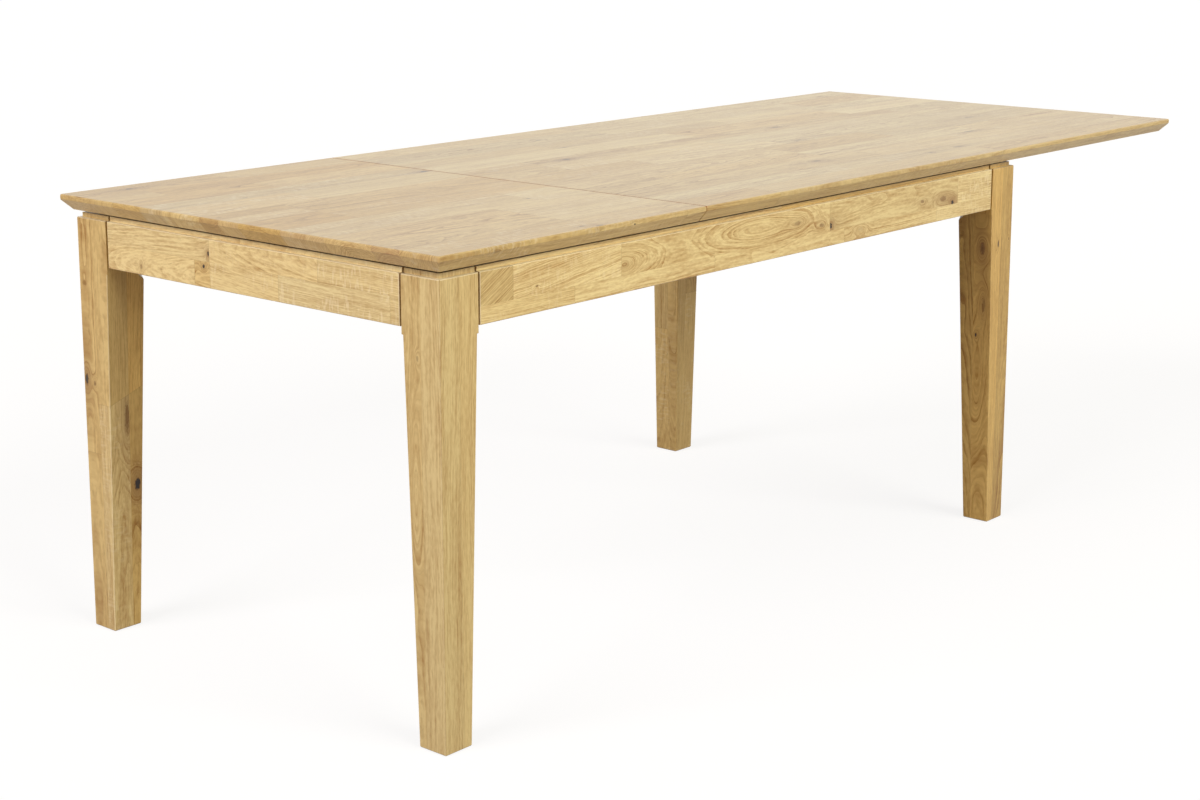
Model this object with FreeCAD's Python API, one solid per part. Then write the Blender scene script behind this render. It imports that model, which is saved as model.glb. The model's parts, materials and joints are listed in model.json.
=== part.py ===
# Extending oak dining table: the long main top slides on the frame, and a loose leaf fills its place.
# Millimetres. X runs along the table, Y across it and Z up. The origin is on the floor, under the middle of
# the opened table. Each piece is written to parts/ as a STEP file of its own.
import FreeCAD, Part
import math
import os

V = FreeCAD.Vector
ALONG_X, ALONG_Y, ALONG_Z = V(1, 0, 0), V(0, 1, 0), V(0, 0, 1)

# ---------------------------------------------------------------- driving dimensions
# Tops
HEIGHT = 750.0              # floor to the top face
WIDTH = 890.0               # front edge to back edge
MAIN_LENGTH = 1610.0        # the sliding main top
LEAF_LENGTH = 600.0         # the loose leaf, and so the main top's travel
TOP_THICKNESS = 26.0
OVERHANG = 19.0             # tops past the frame, with the table closed
EDGE_NOSE = 8.0             # upright part of the edge, above the undercut
EDGE_UNDERCUT = 16.0        # how far in the undercut reaches at the underside
EDGE_ROUND = 3.0            # upper edge
ARRIS_ROUND = 2.0           # where the nose meets the undercut
CORNER_ROUND = 4.0          # corners of the tops, seen from above
SEAM_EASE = 1.4             # eased edges that meet in the seam

# Frame
REVEAL = 12.0               # shadow line between the frame's faces and the tops
REVEAL_DEPTH = 7.0
APRON_FACE = 78.0           # height of an apron's face
APRON_THICKNESS = 25.0
APRON_GAP = 0.5             # between an apron's end and the leg
GROOVE_WIDTH = 4.0          # upright shadow groove between an apron's face and the leg
GROOVE_DEPTH = 14.0
FRAME_EASE = 1.5            # eased edges of the aprons

# Legs
LEG_WIDTH = 78.0            # square at the top
LEG_FOOT = 55.0             # square at the floor
LEG_SHOULDER = 2.0          # step in the two inner faces where the taper starts
LEG_STRAIGHT = 11.0         # straight stretch below the aprons
LEG_CHAMFER = 22.0          # flat across the inner corner, behind the corner bracket
LEG_CHAMFER_DROP = 14.0     # how far the flat reaches below the aprons before it runs out
LEG_RUN_OUT = 22.0          # height of the slope in which it runs out
LEG_EASE = 2.0              # eased long edges, and the rim of the outer faces
LEG_END_EASE = 1.5          # eased edges round the foot

# Cross rails, which tie the long aprons and carry the guide rails
CROSS_RAIL_WIDTH = 60.0
CROSS_RAIL_HEIGHT = 28.0
CROSS_RAIL_INSET = 526.0    # a frame's end to the nearer rail's middle
HOUSING_DEPTH = 8.0         # sockets in the aprons for the rails' ends

# Guide rails of the frame, and runners of the main top
GUIDE_INSET = 161.0         # a long side of the frame to the nearer guide rail
GUIDE_WIDTH = 30.0
GUIDE_HEIGHT = 50.0
RUNNER_WIDTH = 26.0
RUNNER_HEIGHT = 48.0
TONGUE_HEIGHT = 12.0
TONGUE_DEPTH = 9.0
TONGUE_DROP = 18.0          # underside of the tops to the tongue's middle
SLIDE_CLEARANCE = 0.5       # between a runner and its guide rail, on each sliding side
GROOVE_RELIEF = 1.0         # extra depth of the groove past the tongue

# Battens under the main top
BATTEN_WIDTH = 45.0
BATTEN_HEIGHT = 24.0
BATTEN_COUNT = 3
BATTEN_INSET = 52.5         # a runner's end to the outer battens' middles
BATTEN_EASE = 2.0

# Glides and buffers
GLIDE_THICKNESS = 4.5       # strips and pads between the frame and the tops
GUIDE_GLIDE_WIDTH = 20.0
APRON_GLIDE_WIDTH = 12.0
APRON_GLIDE_INSET = 55.0    # a guide rail to the nearer end of the strip
LEG_PAD_DIAMETER = 30.0
BUFFER_DIAMETER = 16.0
BUFFER_LENGTH = 8.0
BUFFER_EASE = 1.0
STOP_CLEARANCE = 0.5        # runner to buffer at each end of the travel
FOOT_GLIDE_DIAMETER = 22.0
FOOT_GLIDE_HEIGHT = 5.0
FOOT_GLIDE_PROUD = 1.0      # how far the legs' ends stand off the floor
FOOT_GLIDE_EASE = 0.6
FOOT_NAIL_DIAMETER = 3.0
FOOT_NAIL_LENGTH = 14.0

# Corner brackets
PLATE_THICKNESS = 2.5
PLATE_HEIGHT = 64.0
PLATE_REACH = 125.0         # frame's outer corner to the bends, along each apron
PLATE_FLANGE = 24.0
PLATE_HOOK = 5.0            # the bent ends that sit in kerfs of the aprons
KERF_CLEARANCE = 0.25       # beside the hook and at the kerf's bottom

# Hanger bolts, washers and nuts
HANGER_DIAMETER = 8.0
HANGER_SPACING = 30.0
HANGER_BITE = 45.0          # depth in the leg
HANGER_TAIL = 6.0           # thread past the nut
HANGER_POINT = 1.2
WASHER_DIAMETER = 24.0
WASHER_THICKNESS = 2.0
NUT_ACROSS_FLATS = 13.0
NUT_HEIGHT = 6.5

# Wood screws
PAN_SHANK = 4.0
PAN_HEAD = 8.0
PAN_HEAD_HEIGHT = 2.5
PAN_BITE = 16.0             # depth in an apron
PAN_SPACING = 36.0          # two in each flange of a bracket
FLAT_SHANK = 4.5            # countersunk screws
FLAT_HEAD = 9.0
SCREW_POINT = 4.0
TOP_SKIN = 8.0              # wood of the top that is left over a screw's point
RUNNER_SCREW_COUNT = 5
RUNNER_SCREW_INSET = 52.5   # a runner's end to its first screw
RUNNER_COUNTERBORE = 12.0   # diameter
RUNNER_COUNTERBORE_DEPTH = 20.0
BATTEN_SCREW_COUNT = 4
BATTEN_SCREW_INSET = 28.5   # a batten's end to its first screw
GUIDE_SCREW_SPACING = 36.0
GUIDE_SCREW_BITE = 30.0
GUIDE_SCREW_OFFSET = 4.0    # outward from a guide rail's middle, away from its groove

# Dowels in the seam
DOWEL_DIAMETER = 10.0
DOWEL_IN_LEAF = 30.0
DOWEL_OUT = 25.0
DOWEL_POINT = 3.0
DOWEL_COUNT = 4
DOWEL_INSET = 115.0         # a long edge to the nearer dowel
DOWEL_END_CLEARANCE = 2.0

# Locking pins and their sleeves
PIN_DIAMETER = 8.0
PIN_TRAVEL = 14.0
PIN_SETBACK = 1.0           # tip of the drawn pin behind the guide rail's inner face
PIN_POINT = 1.0
PIN_DROP = 39.0             # underside of the tops to the pin's axis
KNOB_DIAMETER = 22.0
KNOB_LENGTH = 12.0
KNOB_CROWN = 2.0            # bevel round the knob's face
KNOB_RIM = 5.0              # knob's face to the end of its rim
KNOB_NECK = 12.0            # diameter of the neck behind the rim
KNOB_COLLAR = 3.0           # straight end of the neck
KNOB_GAP = 2.0              # knob to sleeve with the pin pushed in
SLEEVE_DIAMETER = 12.0
SLEEVE_FLANGE_DIAMETER = 18.0
SLEEVE_FLANGE = 2.0

# Fits
HOLE_FIT = 0.05             # round screws, bolts, nails and sleeves, which stay put
DOWEL_FIT = 0.1             # dowels in the main top, which slide
PIN_FIT = 0.1               # locking pins in their sleeves, which slide
LOCK_HOLE_FIT = 0.5         # locking pins in the runners

# ---------------------------------------------------------------- places that follow from them
UNDERSIDE = HEIGHT - TOP_THICKNESS
FRAME_TOP = UNDERSIDE - GLIDE_THICKNESS
FACE_TOP = UNDERSIDE - REVEAL
APRON_BOTTOM = FACE_TOP - APRON_FACE
ARRIS = HEIGHT - EDGE_NOSE

X_LEFT = -(MAIN_LENGTH + LEAF_LENGTH) / 2
X_SEAM = X_LEFT + LEAF_LENGTH
X_RIGHT = X_SEAM + MAIN_LENGTH
Y_FRONT = -WIDTH / 2
Y_BACK = WIDTH / 2

FRAME_LEFT = X_LEFT + OVERHANG
FRAME_RIGHT = X_LEFT + MAIN_LENGTH - OVERHANG
FRAME_FRONT = Y_FRONT + OVERHANG
FRAME_BACK = Y_BACK - OVERHANG
FRAME_MID = (FRAME_LEFT + FRAME_RIGHT) / 2
INNER_LEFT = FRAME_LEFT + APRON_THICKNESS
INNER_RIGHT = FRAME_RIGHT - APRON_THICKNESS
INNER_FRONT = FRAME_FRONT + APRON_THICKNESS
INNER_BACK = FRAME_BACK - APRON_THICKNESS

LEG_TAPER_TOP = APRON_BOTTOM - LEG_STRAIGHT
BRACKET_MIDDLE = (APRON_BOTTOM + FRAME_TOP) / 2

GUIDE_BOTTOM = FRAME_TOP - GUIDE_HEIGHT
GUIDE_FRONT = FRAME_FRONT + GUIDE_INSET
GUIDE_INNER = GUIDE_FRONT + GUIDE_WIDTH
GUIDE_MIDDLE = (GUIDE_FRONT + GUIDE_INNER) / 2
CROSS_RAIL_BOTTOM = GUIDE_BOTTOM - CROSS_RAIL_HEIGHT
TONGUE_MIDDLE = UNDERSIDE - TONGUE_DROP

RUNNER_RIGHT = INNER_RIGHT - BUFFER_LENGTH - STOP_CLEARANCE
RUNNER_LEFT = INNER_LEFT + LEAF_LENGTH + BUFFER_LENGTH + STOP_CLEARANCE
RUNNER_MID = (RUNNER_LEFT + RUNNER_RIGHT) / 2
RUNNER_FRONT = GUIDE_INNER + SLIDE_CLEARANCE
RUNNER_BACK = RUNNER_FRONT + RUNNER_WIDTH
RUNNER_BOTTOM = UNDERSIDE - RUNNER_HEIGHT

PIN_AXIS = UNDERSIDE - PIN_DROP
PIN_X = RUNNER_MID - LEAF_LENGTH / 2
PIN_TIP = GUIDE_INNER - PIN_SETBACK

OVERCUT = 1.0               # how far a cutting tool runs past the face that it opens
TOLERANCE = 1e-3


# ---------------------------------------------------------------- helpers
def box(x, y, z):
    """A box from its low and high limits along each axis."""
    return Part.makeBox(x[1] - x[0], y[1] - y[0], z[1] - z[0], V(x[0], y[0], z[0]))


def prism(outline, sweep):
    """A closed flat outline, swept along a vector."""
    wire = Part.makePolygon(outline + outline[:1])
    return Part.Face(wire).extrude(sweep)


def turned(profile, base, direction):
    """A solid of revolution from (radius, height) points, standing on base along direction."""
    outline = [V(radius, 0, height) for radius, height in profile]
    wire = Part.makePolygon(outline + outline[:1])
    solid = Part.Face(wire).revolve(V(0, 0, 0), ALONG_Z, 360)
    solid.Placement = FreeCAD.Placement(base, FreeCAD.Rotation(ALONG_Z, direction))
    return solid


def rod(diameter, length, base, direction):
    """A plain round rod."""
    return Part.makeCylinder(diameter / 2, length, base, direction)


def lies_at(edge, axis, level):
    """Whether an edge lies flat at a level along the axis X, Y or Z."""
    bounds = edge.BoundBox
    low = getattr(bounds, axis + "Min")
    high = getattr(bounds, axis + "Max")
    return abs(low - level) < TOLERANCE and abs(high - level) < TOLERANCE


def rounded(shape, radius, chosen):
    """The shape with every edge rounded for which chosen(edge) is true."""
    return shape.makeFillet(radius, [edge for edge in shape.Edges if chosen(edge)])


def chamfered(shape, size, chosen):
    """The shape with every edge bevelled for which chosen(edge) is true."""
    return shape.makeChamfer(size, [edge for edge in shape.Edges if chosen(edge)])


def spread(middle, count, spacing):
    """Evenly spaced places round a middle."""
    return [middle + (index - (count - 1) / 2) * spacing for index in range(count)]


def evenly(low, high, count):
    """Places evenly spaced from low to high."""
    return spread((low + high) / 2, count, (high - low) / (count - 1))


def to_back(shape):
    """A front piece mirrored to the back."""
    return shape.mirror(V(0, 0, 0), ALONG_Y)


def to_right(shape):
    """A left piece of the frame mirrored to the right."""
    return shape.mirror(V(FRAME_MID, 0, 0), ALONG_X)


def group(shapes):
    """Separate solids that share one node."""
    return Part.makeCompound(list(shapes))


def front_and_back(shapes):
    """A group of front pieces with the same pieces at the back."""
    return group(shapes + [to_back(shape) for shape in shapes])


def at_corners(shapes):
    """Front left pieces, repeated at all four corners of the frame."""
    left = shapes + [to_back(shape) for shape in shapes]
    return group(left + [to_right(shape) for shape in left])


# ---------------------------------------------------------------- fasteners
def flat_screw(head, direction, length, fit=0.0):
    """A countersunk wood screw: head is the middle of its flat face. A fit makes it the hole instead."""
    shank = FLAT_SHANK / 2 + fit
    wide = FLAT_HEAD / 2 + fit
    profile = [
        (0, 0),
        (wide, 0),
        (shank, wide - shank),
        (shank, length - SCREW_POINT),
        (0, length + fit),
    ]
    return turned(profile, head, direction)


def pan_screw(seat, direction, length, fit=0.0):
    """A pan head wood screw: seat is the middle of the face that its head bears on."""
    shank = PAN_SHANK / 2 + fit
    wide = PAN_HEAD / 2
    profile = [
        (0, -PAN_HEAD_HEIGHT),
        (wide - PAN_HEAD_HEIGHT / 2, -PAN_HEAD_HEIGHT),
        (wide, -PAN_HEAD_HEIGHT / 2),
        (wide, 0),
        (shank, 0),
        (shank, length - SCREW_POINT),
        (0, length + fit),
    ]
    return turned(profile, seat, direction)


def runner_screw_places():
    """Where the screws of a runner stand along the table."""
    return evenly(RUNNER_LEFT + RUNNER_SCREW_INSET, RUNNER_RIGHT - RUNNER_SCREW_INSET, RUNNER_SCREW_COUNT)


def runner_screws(fit=0.0):
    """Screws up through the front runner into the main top, from the bottom of its counterbores."""
    head = RUNNER_BOTTOM + RUNNER_COUNTERBORE_DEPTH
    length = HEIGHT - TOP_SKIN - head
    middle = (RUNNER_FRONT + RUNNER_BACK) / 2
    return [flat_screw(V(x, middle, head), ALONG_Z, length, fit) for x in runner_screw_places()]


def batten_screws(fit=0.0):
    """Screws up through the battens into the main top."""
    head = UNDERSIDE - BATTEN_HEIGHT
    length = HEIGHT - TOP_SKIN - head
    first = RUNNER_BACK + BATTEN_SCREW_INSET
    return [
        flat_screw(V(x, y, head), ALONG_Z, length, fit)
        for x in batten_places()
        for y in evenly(first, -first, BATTEN_SCREW_COUNT)
    ]


def guide_screws(fit=0.0):
    """Screws up through the cross rails into the front guide rail."""
    y = GUIDE_MIDDLE - GUIDE_SCREW_OFFSET
    length = CROSS_RAIL_HEIGHT + GUIDE_SCREW_BITE
    return [
        flat_screw(V(x, y, CROSS_RAIL_BOTTOM), ALONG_Z, length, fit)
        for rail in cross_rail_places()
        for x in spread(rail, 2, GUIDE_SCREW_SPACING)
    ]


def dowels(fit=0.0, end=0.0):
    """Dowels that stand out of the leaf into the main top. A fit and an end clearance make them bores."""
    radius = DOWEL_DIAMETER / 2 + fit
    length = DOWEL_IN_LEAF + DOWEL_OUT
    point = 0.0 if end else DOWEL_POINT
    profile = [
        (0, -end),
        (radius - point / 2, -end),
        (radius, point - end),
        (radius, length - point + end),
        (radius - point / 2, length + end),
        (0, length + end),
    ]
    middle = (HEIGHT + UNDERSIDE) / 2
    return [
        turned(profile, V(X_SEAM - DOWEL_IN_LEAF, y, middle), ALONG_X)
        for y in evenly(Y_FRONT + DOWEL_INSET, Y_BACK - DOWEL_INSET, DOWEL_COUNT)
    ]


# ---------------------------------------------------------------- tops
def undercut(start, inward, run):
    """The wedge cut away below one free edge: start is a lower corner of the board."""
    rise = TOP_THICKNESS - EDGE_NOSE
    past = OVERCUT / EDGE_UNDERCUT
    outer = start - inward * (EDGE_UNDERCUT * past) + ALONG_Z * (rise * (1 + past))
    inner = start + inward * (EDGE_UNDERCUT * (1 + past)) - ALONG_Z * (rise * past)
    below = V(outer.x, outer.y, inner.z)
    return prism([outer, inner, below], run)


def top_board(x_left, x_right, free_end, seam_end):
    """A board with a rounded nose and an undercut on its long edges and on one end."""
    board = box((x_left, x_right), (Y_FRONT, Y_BACK), (UNDERSIDE, HEIGHT))
    upright = lambda edge: edge.BoundBox.ZLength > TOP_THICKNESS / 2
    board = rounded(board, CORNER_ROUND, lambda e: upright(e) and lies_at(e, "X", free_end))
    whole_run = ALONG_X * (x_right - x_left)
    inward = ALONG_X if free_end < seam_end else -ALONG_X
    board = board.cut(undercut(V(x_left, Y_FRONT, UNDERSIDE), ALONG_Y, whole_run))
    board = board.cut(undercut(V(x_left, Y_BACK, UNDERSIDE), -ALONG_Y, whole_run))
    board = board.cut(undercut(V(free_end, Y_FRONT, UNDERSIDE), inward, ALONG_Y * WIDTH))
    at_seam = lambda edge: lies_at(edge, "X", seam_end)
    board = rounded(board, EDGE_ROUND, lambda e: lies_at(e, "Z", HEIGHT) and not at_seam(e))
    arris_line = lambda e: lies_at(e, "Z", ARRIS) and e.Length > CORNER_ROUND * 2
    board = rounded(board, ARRIS_ROUND, arris_line)
    return chamfered(board, SEAM_EASE, lambda e: at_seam(e) and e.BoundBox.YLength > WIDTH / 2)


def main_top():
    """The sliding top: its seam is at the left, with bores for the leaf's dowels."""
    board = top_board(X_SEAM, X_RIGHT, X_RIGHT, X_SEAM)
    runner_holes = front_and_back(runner_screws(HOLE_FIT))
    board = board.cut([group(dowels(DOWEL_FIT, DOWEL_END_CLEARANCE)), runner_holes])
    return board.cut(group(batten_screws(HOLE_FIT)))


def leaf():
    """The loose leaf: its seam is at the right, and its underside is flush."""
    board = top_board(X_LEFT, X_SEAM, X_LEFT, X_SEAM)
    return board.cut(group(dowels(HOLE_FIT, HOLE_FIT)))


# ---------------------------------------------------------------- frame
def leg_taper(corner, inward, across):
    """The wedge cut off one inner face of a leg, below its shoulder."""
    outer = corner + inward * (LEG_WIDTH + OVERCUT)
    shoulder = corner + inward * (LEG_WIDTH - LEG_SHOULDER)
    foot = corner + inward * LEG_FOOT
    slope = (LEG_WIDTH - LEG_SHOULDER - LEG_FOOT) / LEG_TAPER_TOP
    low = foot - inward * (slope * OVERCUT) - ALONG_Z * OVERCUT
    outline = [
        V(shoulder.x, shoulder.y, LEG_TAPER_TOP),
        low,
        V(outer.x, outer.y, -OVERCUT),
        V(outer.x, outer.y, LEG_TAPER_TOP),
    ]
    return prism(outline, across * (LEG_WIDTH + OVERCUT))


def leg_chamfer(corner):
    """The flat across a leg's inner corner, which runs out in a slope below the aprons."""
    outward = V(1, 1, 0).normalize()
    sideways = V(1, -1, 0).normalize()
    middle = corner + V(1, 1, 0) * (LEG_WIDTH - LEG_CHAMFER / 2)
    reach = LEG_CHAMFER / math.sqrt(2) + OVERCUT
    run_out = APRON_BOTTOM - LEG_CHAMFER_DROP
    slope = LEG_RUN_OUT * math.sqrt(2) / LEG_CHAMFER
    outline = [
        (0, run_out),
        (0, FRAME_TOP + OVERCUT),
        (reach, FRAME_TOP + OVERCUT),
        (reach, run_out - reach * slope),
    ]
    points = [middle + outward * out + ALONG_Z * z - sideways * LEG_CHAMFER for out, z in outline]
    return prism(points, sideways * (2 * LEG_CHAMFER))


def leg():
    """The front left leg: outer faces upright, inner faces tapered, a rebate round its outer top."""
    corner = V(FRAME_LEFT, FRAME_FRONT, 0)
    x_span = (FRAME_LEFT, FRAME_LEFT + LEG_WIDTH)
    y_span = (FRAME_FRONT, FRAME_FRONT + LEG_WIDTH)
    post = box(x_span, y_span, (FOOT_GLIDE_PROUD, FRAME_TOP))
    outer_x = (FRAME_LEFT - OVERCUT, FRAME_LEFT + REVEAL_DEPTH)
    outer_y = (FRAME_FRONT - OVERCUT, FRAME_FRONT + REVEAL_DEPTH)
    above = (FACE_TOP, FRAME_TOP + OVERCUT)
    post = post.cut([box(outer_x, y_span, above), box(x_span, outer_y, above)])
    post = post.cut([leg_taper(corner, ALONG_X, ALONG_Y), leg_taper(corner, ALONG_Y, ALONG_X)])
    long = lambda edge: edge.BoundBox.ZLength > LEG_TAPER_TOP / 2
    outer = lambda edge: lies_at(edge, "X", FRAME_LEFT) or lies_at(edge, "Y", FRAME_FRONT)
    rim = lambda edge: lies_at(edge, "Z", FACE_TOP) and outer(edge)
    post = rounded(post, LEG_EASE, lambda e: long(e) or rim(e))
    post = chamfered(post, LEG_END_EASE, lambda e: lies_at(e, "Z", FOOT_GLIDE_PROUD))
    post = post.cut(leg_chamfer(corner))
    bolt_holes = group(hanger_bolt(z, HOLE_FIT) for z in hanger_levels())
    return post.cut([bolt_holes, foot_glide(HOLE_FIT)])


def apron_profile(outer, inward):
    """Section of an apron: a rebate at the upper outer edge leaves a lip set back under the tops."""
    face = outer + inward * REVEAL_DEPTH
    inner = outer + inward * APRON_THICKNESS
    return [
        outer + ALONG_Z * APRON_BOTTOM,
        inner + ALONG_Z * APRON_BOTTOM,
        inner + ALONG_Z * FRAME_TOP,
        face + ALONG_Z * FRAME_TOP,
        face + ALONG_Z * FACE_TOP,
        outer + ALONG_Z * FACE_TOP,
    ]


def shadow_groove(along_front):
    """The rebate down an apron's outer end that leaves an upright shadow line beside the front left leg."""
    across = (LEG_WIDTH, LEG_WIDTH + GROOVE_WIDTH)
    deep = (-OVERCUT, GROOVE_DEPTH)
    x_side, y_side = (across, deep) if along_front else (deep, across)
    x = [FRAME_LEFT + value for value in x_side]
    y = [FRAME_FRONT + value for value in y_side]
    return box(x, y, (APRON_BOTTOM - OVERCUT, FRAME_TOP + OVERCUT))


def eased_apron(apron, axis, outer, inner):
    """An apron with the edges of its face and its inner bottom edge eased."""
    at_face = lambda edge: lies_at(edge, axis, outer)
    at_bottom = lambda edge: lies_at(edge, axis, inner) and lies_at(edge, "Z", APRON_BOTTOM)
    return rounded(apron, FRAME_EASE, lambda edge: at_face(edge) or at_bottom(edge))


def bracket_kerf(along_front):
    """The kerf in one apron for the hooked end of a corner bracket."""
    end = PLATE_REACH + PLATE_FLANGE
    across = (end - PLATE_THICKNESS - KERF_CLEARANCE, end + KERF_CLEARANCE)
    deep = (APRON_THICKNESS - PLATE_HOOK - KERF_CLEARANCE, APRON_THICKNESS + OVERCUT)
    high = (BRACKET_MIDDLE - PLATE_HEIGHT / 2 - KERF_CLEARANCE, FRAME_TOP + OVERCUT)
    x_side, y_side = (across, deep) if along_front else (deep, across)
    x = [FRAME_LEFT + value for value in x_side]
    y = [FRAME_FRONT + value for value in y_side]
    return box(x, y, high)


def apron_front():
    """The front apron: kerfs for two brackets and sockets for the cross rails."""
    x_span = (FRAME_LEFT + LEG_WIDTH + APRON_GAP, FRAME_RIGHT - LEG_WIDTH - APRON_GAP)
    section = apron_profile(V(x_span[0], FRAME_FRONT, 0), ALONG_Y)
    apron = prism(section, ALONG_X * (x_span[1] - x_span[0]))
    apron = apron.cut([shadow_groove(True), to_right(shadow_groove(True))])
    apron = eased_apron(apron, "Y", FRAME_FRONT, INNER_FRONT)
    kerf = bracket_kerf(True)
    screws = [bracket_screw(True, z, HOLE_FIT) for z in bracket_screw_levels()]
    apron = apron.cut([kerf, to_right(kerf), group(screws), to_right(group(screws))])
    return apron.cut(group(cross_rail_blank(x) for x in cross_rail_places()))


def apron_left():
    """The left end apron: kerfs for two brackets and housings for the guide rails."""
    y_span = (FRAME_FRONT + LEG_WIDTH + APRON_GAP, FRAME_BACK - LEG_WIDTH - APRON_GAP)
    section = apron_profile(V(FRAME_LEFT, y_span[0], 0), ALONG_X)
    apron = prism(section, ALONG_Y * (y_span[1] - y_span[0]))
    apron = apron.cut([shadow_groove(False), to_back(shadow_groove(False))])
    apron = eased_apron(apron, "X", FRAME_LEFT, INNER_LEFT)
    kerf = bracket_kerf(False)
    screws = [bracket_screw(False, z, HOLE_FIT) for z in bracket_screw_levels()]
    apron = apron.cut([kerf, to_back(kerf), group(screws), to_back(group(screws))])
    return apron.cut([guide_blank(), to_back(guide_blank())])


def cross_rail_places():
    """Middles of the cross rails along the table."""
    return [FRAME_LEFT + CROSS_RAIL_INSET, FRAME_RIGHT - CROSS_RAIL_INSET]


def cross_rail_blank(x):
    """A cross rail with its ends in the long aprons."""
    x_span = (x - CROSS_RAIL_WIDTH / 2, x + CROSS_RAIL_WIDTH / 2)
    y_span = (INNER_FRONT - HOUSING_DEPTH, INNER_BACK + HOUSING_DEPTH)
    return box(x_span, y_span, (CROSS_RAIL_BOTTOM, GUIDE_BOTTOM))


def cross_rail(x):
    """A cross rail, drilled for the guide rails' screws."""
    return cross_rail_blank(x).cut(front_and_back(guide_screws(HOLE_FIT)))


def guide_blank():
    """A front guide rail before its groove, with its ends in the end aprons."""
    x_span = (INNER_LEFT - HOUSING_DEPTH, INNER_RIGHT + HOUSING_DEPTH)
    return box(x_span, (GUIDE_FRONT, GUIDE_INNER), (GUIDE_BOTTOM, FRAME_TOP))


def guide_rail():
    """The front guide rail: a groove for the runner's tongue and a bore for the lock's sleeve."""
    half_groove = TONGUE_HEIGHT / 2 + SLIDE_CLEARANCE
    groove_depth = TONGUE_DEPTH - SLIDE_CLEARANCE + GROOVE_RELIEF
    groove = box(
        (INNER_LEFT, INNER_RIGHT),
        (GUIDE_INNER - groove_depth, GUIDE_INNER + OVERCUT),
        (TONGUE_MIDDLE - half_groove, TONGUE_MIDDLE + half_groove),
    )
    bore = rod(
        SLEEVE_DIAMETER + 2 * HOLE_FIT,
        GUIDE_WIDTH + 2 * OVERCUT,
        V(PIN_X, GUIDE_FRONT - OVERCUT, PIN_AXIS),
        ALONG_Y,
    )
    return guide_blank().cut([groove, bore, group(guide_screws(HOLE_FIT))])


# ---------------------------------------------------------------- parts that slide under the main top
def runner():
    """The front runner: a bar under the main top with a tongue in the guide rail's groove."""
    x_span = (RUNNER_LEFT, RUNNER_RIGHT)
    bar = box(x_span, (RUNNER_FRONT, RUNNER_BACK), (RUNNER_BOTTOM, UNDERSIDE))
    half_tongue = TONGUE_HEIGHT / 2
    tongue = box(
        x_span,
        (RUNNER_FRONT - TONGUE_DEPTH, RUNNER_FRONT),
        (TONGUE_MIDDLE - half_tongue, TONGUE_MIDDLE + half_tongue),
    )
    bar = bar.fuse(tongue).removeSplitter()
    middle = (RUNNER_FRONT + RUNNER_BACK) / 2
    counterbores = [
        rod(
            RUNNER_COUNTERBORE,
            RUNNER_COUNTERBORE_DEPTH + OVERCUT,
            V(x, middle, RUNNER_BOTTOM - OVERCUT),
            ALONG_Z,
        )
        for x in runner_screw_places()
    ]
    bar = bar.cut(group(counterbores + runner_screws(HOLE_FIT)))
    return bar.cut(group(lock_hole(x) for x in (PIN_X, PIN_X + LEAF_LENGTH)))


def lock_hole(x):
    """A hole in the runner that takes the locking pin's tip, with the table open or closed."""
    depth = PIN_TRAVEL - PIN_SETBACK - SLIDE_CLEARANCE + LOCK_HOLE_FIT
    base = V(x, RUNNER_FRONT - OVERCUT, PIN_AXIS)
    return rod(PIN_DIAMETER + 2 * LOCK_HOLE_FIT, depth + OVERCUT, base, ALONG_Y)


def batten_places():
    """Middles of the battens along the table."""
    return evenly(RUNNER_LEFT + BATTEN_INSET, RUNNER_RIGHT - BATTEN_INSET, BATTEN_COUNT)


def batten(x):
    """A batten across the main top, from runner to runner, with its lower edges rounded."""
    x_span = (x - BATTEN_WIDTH / 2, x + BATTEN_WIDTH / 2)
    bar = box(x_span, (RUNNER_BACK, -RUNNER_BACK), (UNDERSIDE - BATTEN_HEIGHT, UNDERSIDE))
    lower = lambda e: lies_at(e, "Z", UNDERSIDE - BATTEN_HEIGHT) and e.BoundBox.YLength > BATTEN_WIDTH
    return rounded(bar, BATTEN_EASE, lower).cut(group(batten_screws(HOLE_FIT)))


# ---------------------------------------------------------------- corner brackets and their bolts
def bracket():
    """The front left bracket: one folded plate, hooked into a kerf in each apron."""
    near = APRON_THICKNESS
    end = PLATE_REACH + PLATE_FLANGE - PLATE_THICKNESS
    folds = [
        (end, near - PLATE_HOOK),
        (end, near),
        (PLATE_REACH, near),
        (near, PLATE_REACH),
        (near, end),
        (near - PLATE_HOOK, end),
    ]
    bottom = BRACKET_MIDDLE - PLATE_HEIGHT / 2
    path = Part.makePolygon([V(FRAME_LEFT + x, FRAME_FRONT + y, bottom) for x, y in folds])
    strip = path.makeOffset2D(PLATE_THICKNESS, join=0, fill=True, openResult=True)
    plate = strip.extrude(ALONG_Z * PLATE_HEIGHT)
    sides = (True, False)
    holes = [bracket_screw(side, z, HOLE_FIT) for side in sides for z in bracket_screw_levels()]
    bolts = [hanger_bolt(z, HOLE_FIT) for z in hanger_levels()]
    return plate.cut(group(holes + bolts))


def bracket_screw_levels():
    """Heights of the two screws in a flange."""
    return spread(BRACKET_MIDDLE, 2, PAN_SPACING)


def bracket_screw(along_front, z, fit=0.0):
    """A pan head screw through a flange of the front left bracket into its apron."""
    place = PLATE_REACH + (PLATE_FLANGE - PLATE_THICKNESS) / 2
    seat = APRON_THICKNESS + PLATE_THICKNESS
    x, y = (place, seat) if along_front else (seat, place)
    inward = -ALONG_Y if along_front else -ALONG_X
    return pan_screw(V(FRAME_LEFT + x, FRAME_FRONT + y, z), inward, PLATE_THICKNESS + PAN_BITE, fit)


def hanger_levels():
    """Heights of the two hanger bolts in a leg."""
    return spread(BRACKET_MIDDLE, 2, HANGER_SPACING)


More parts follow.
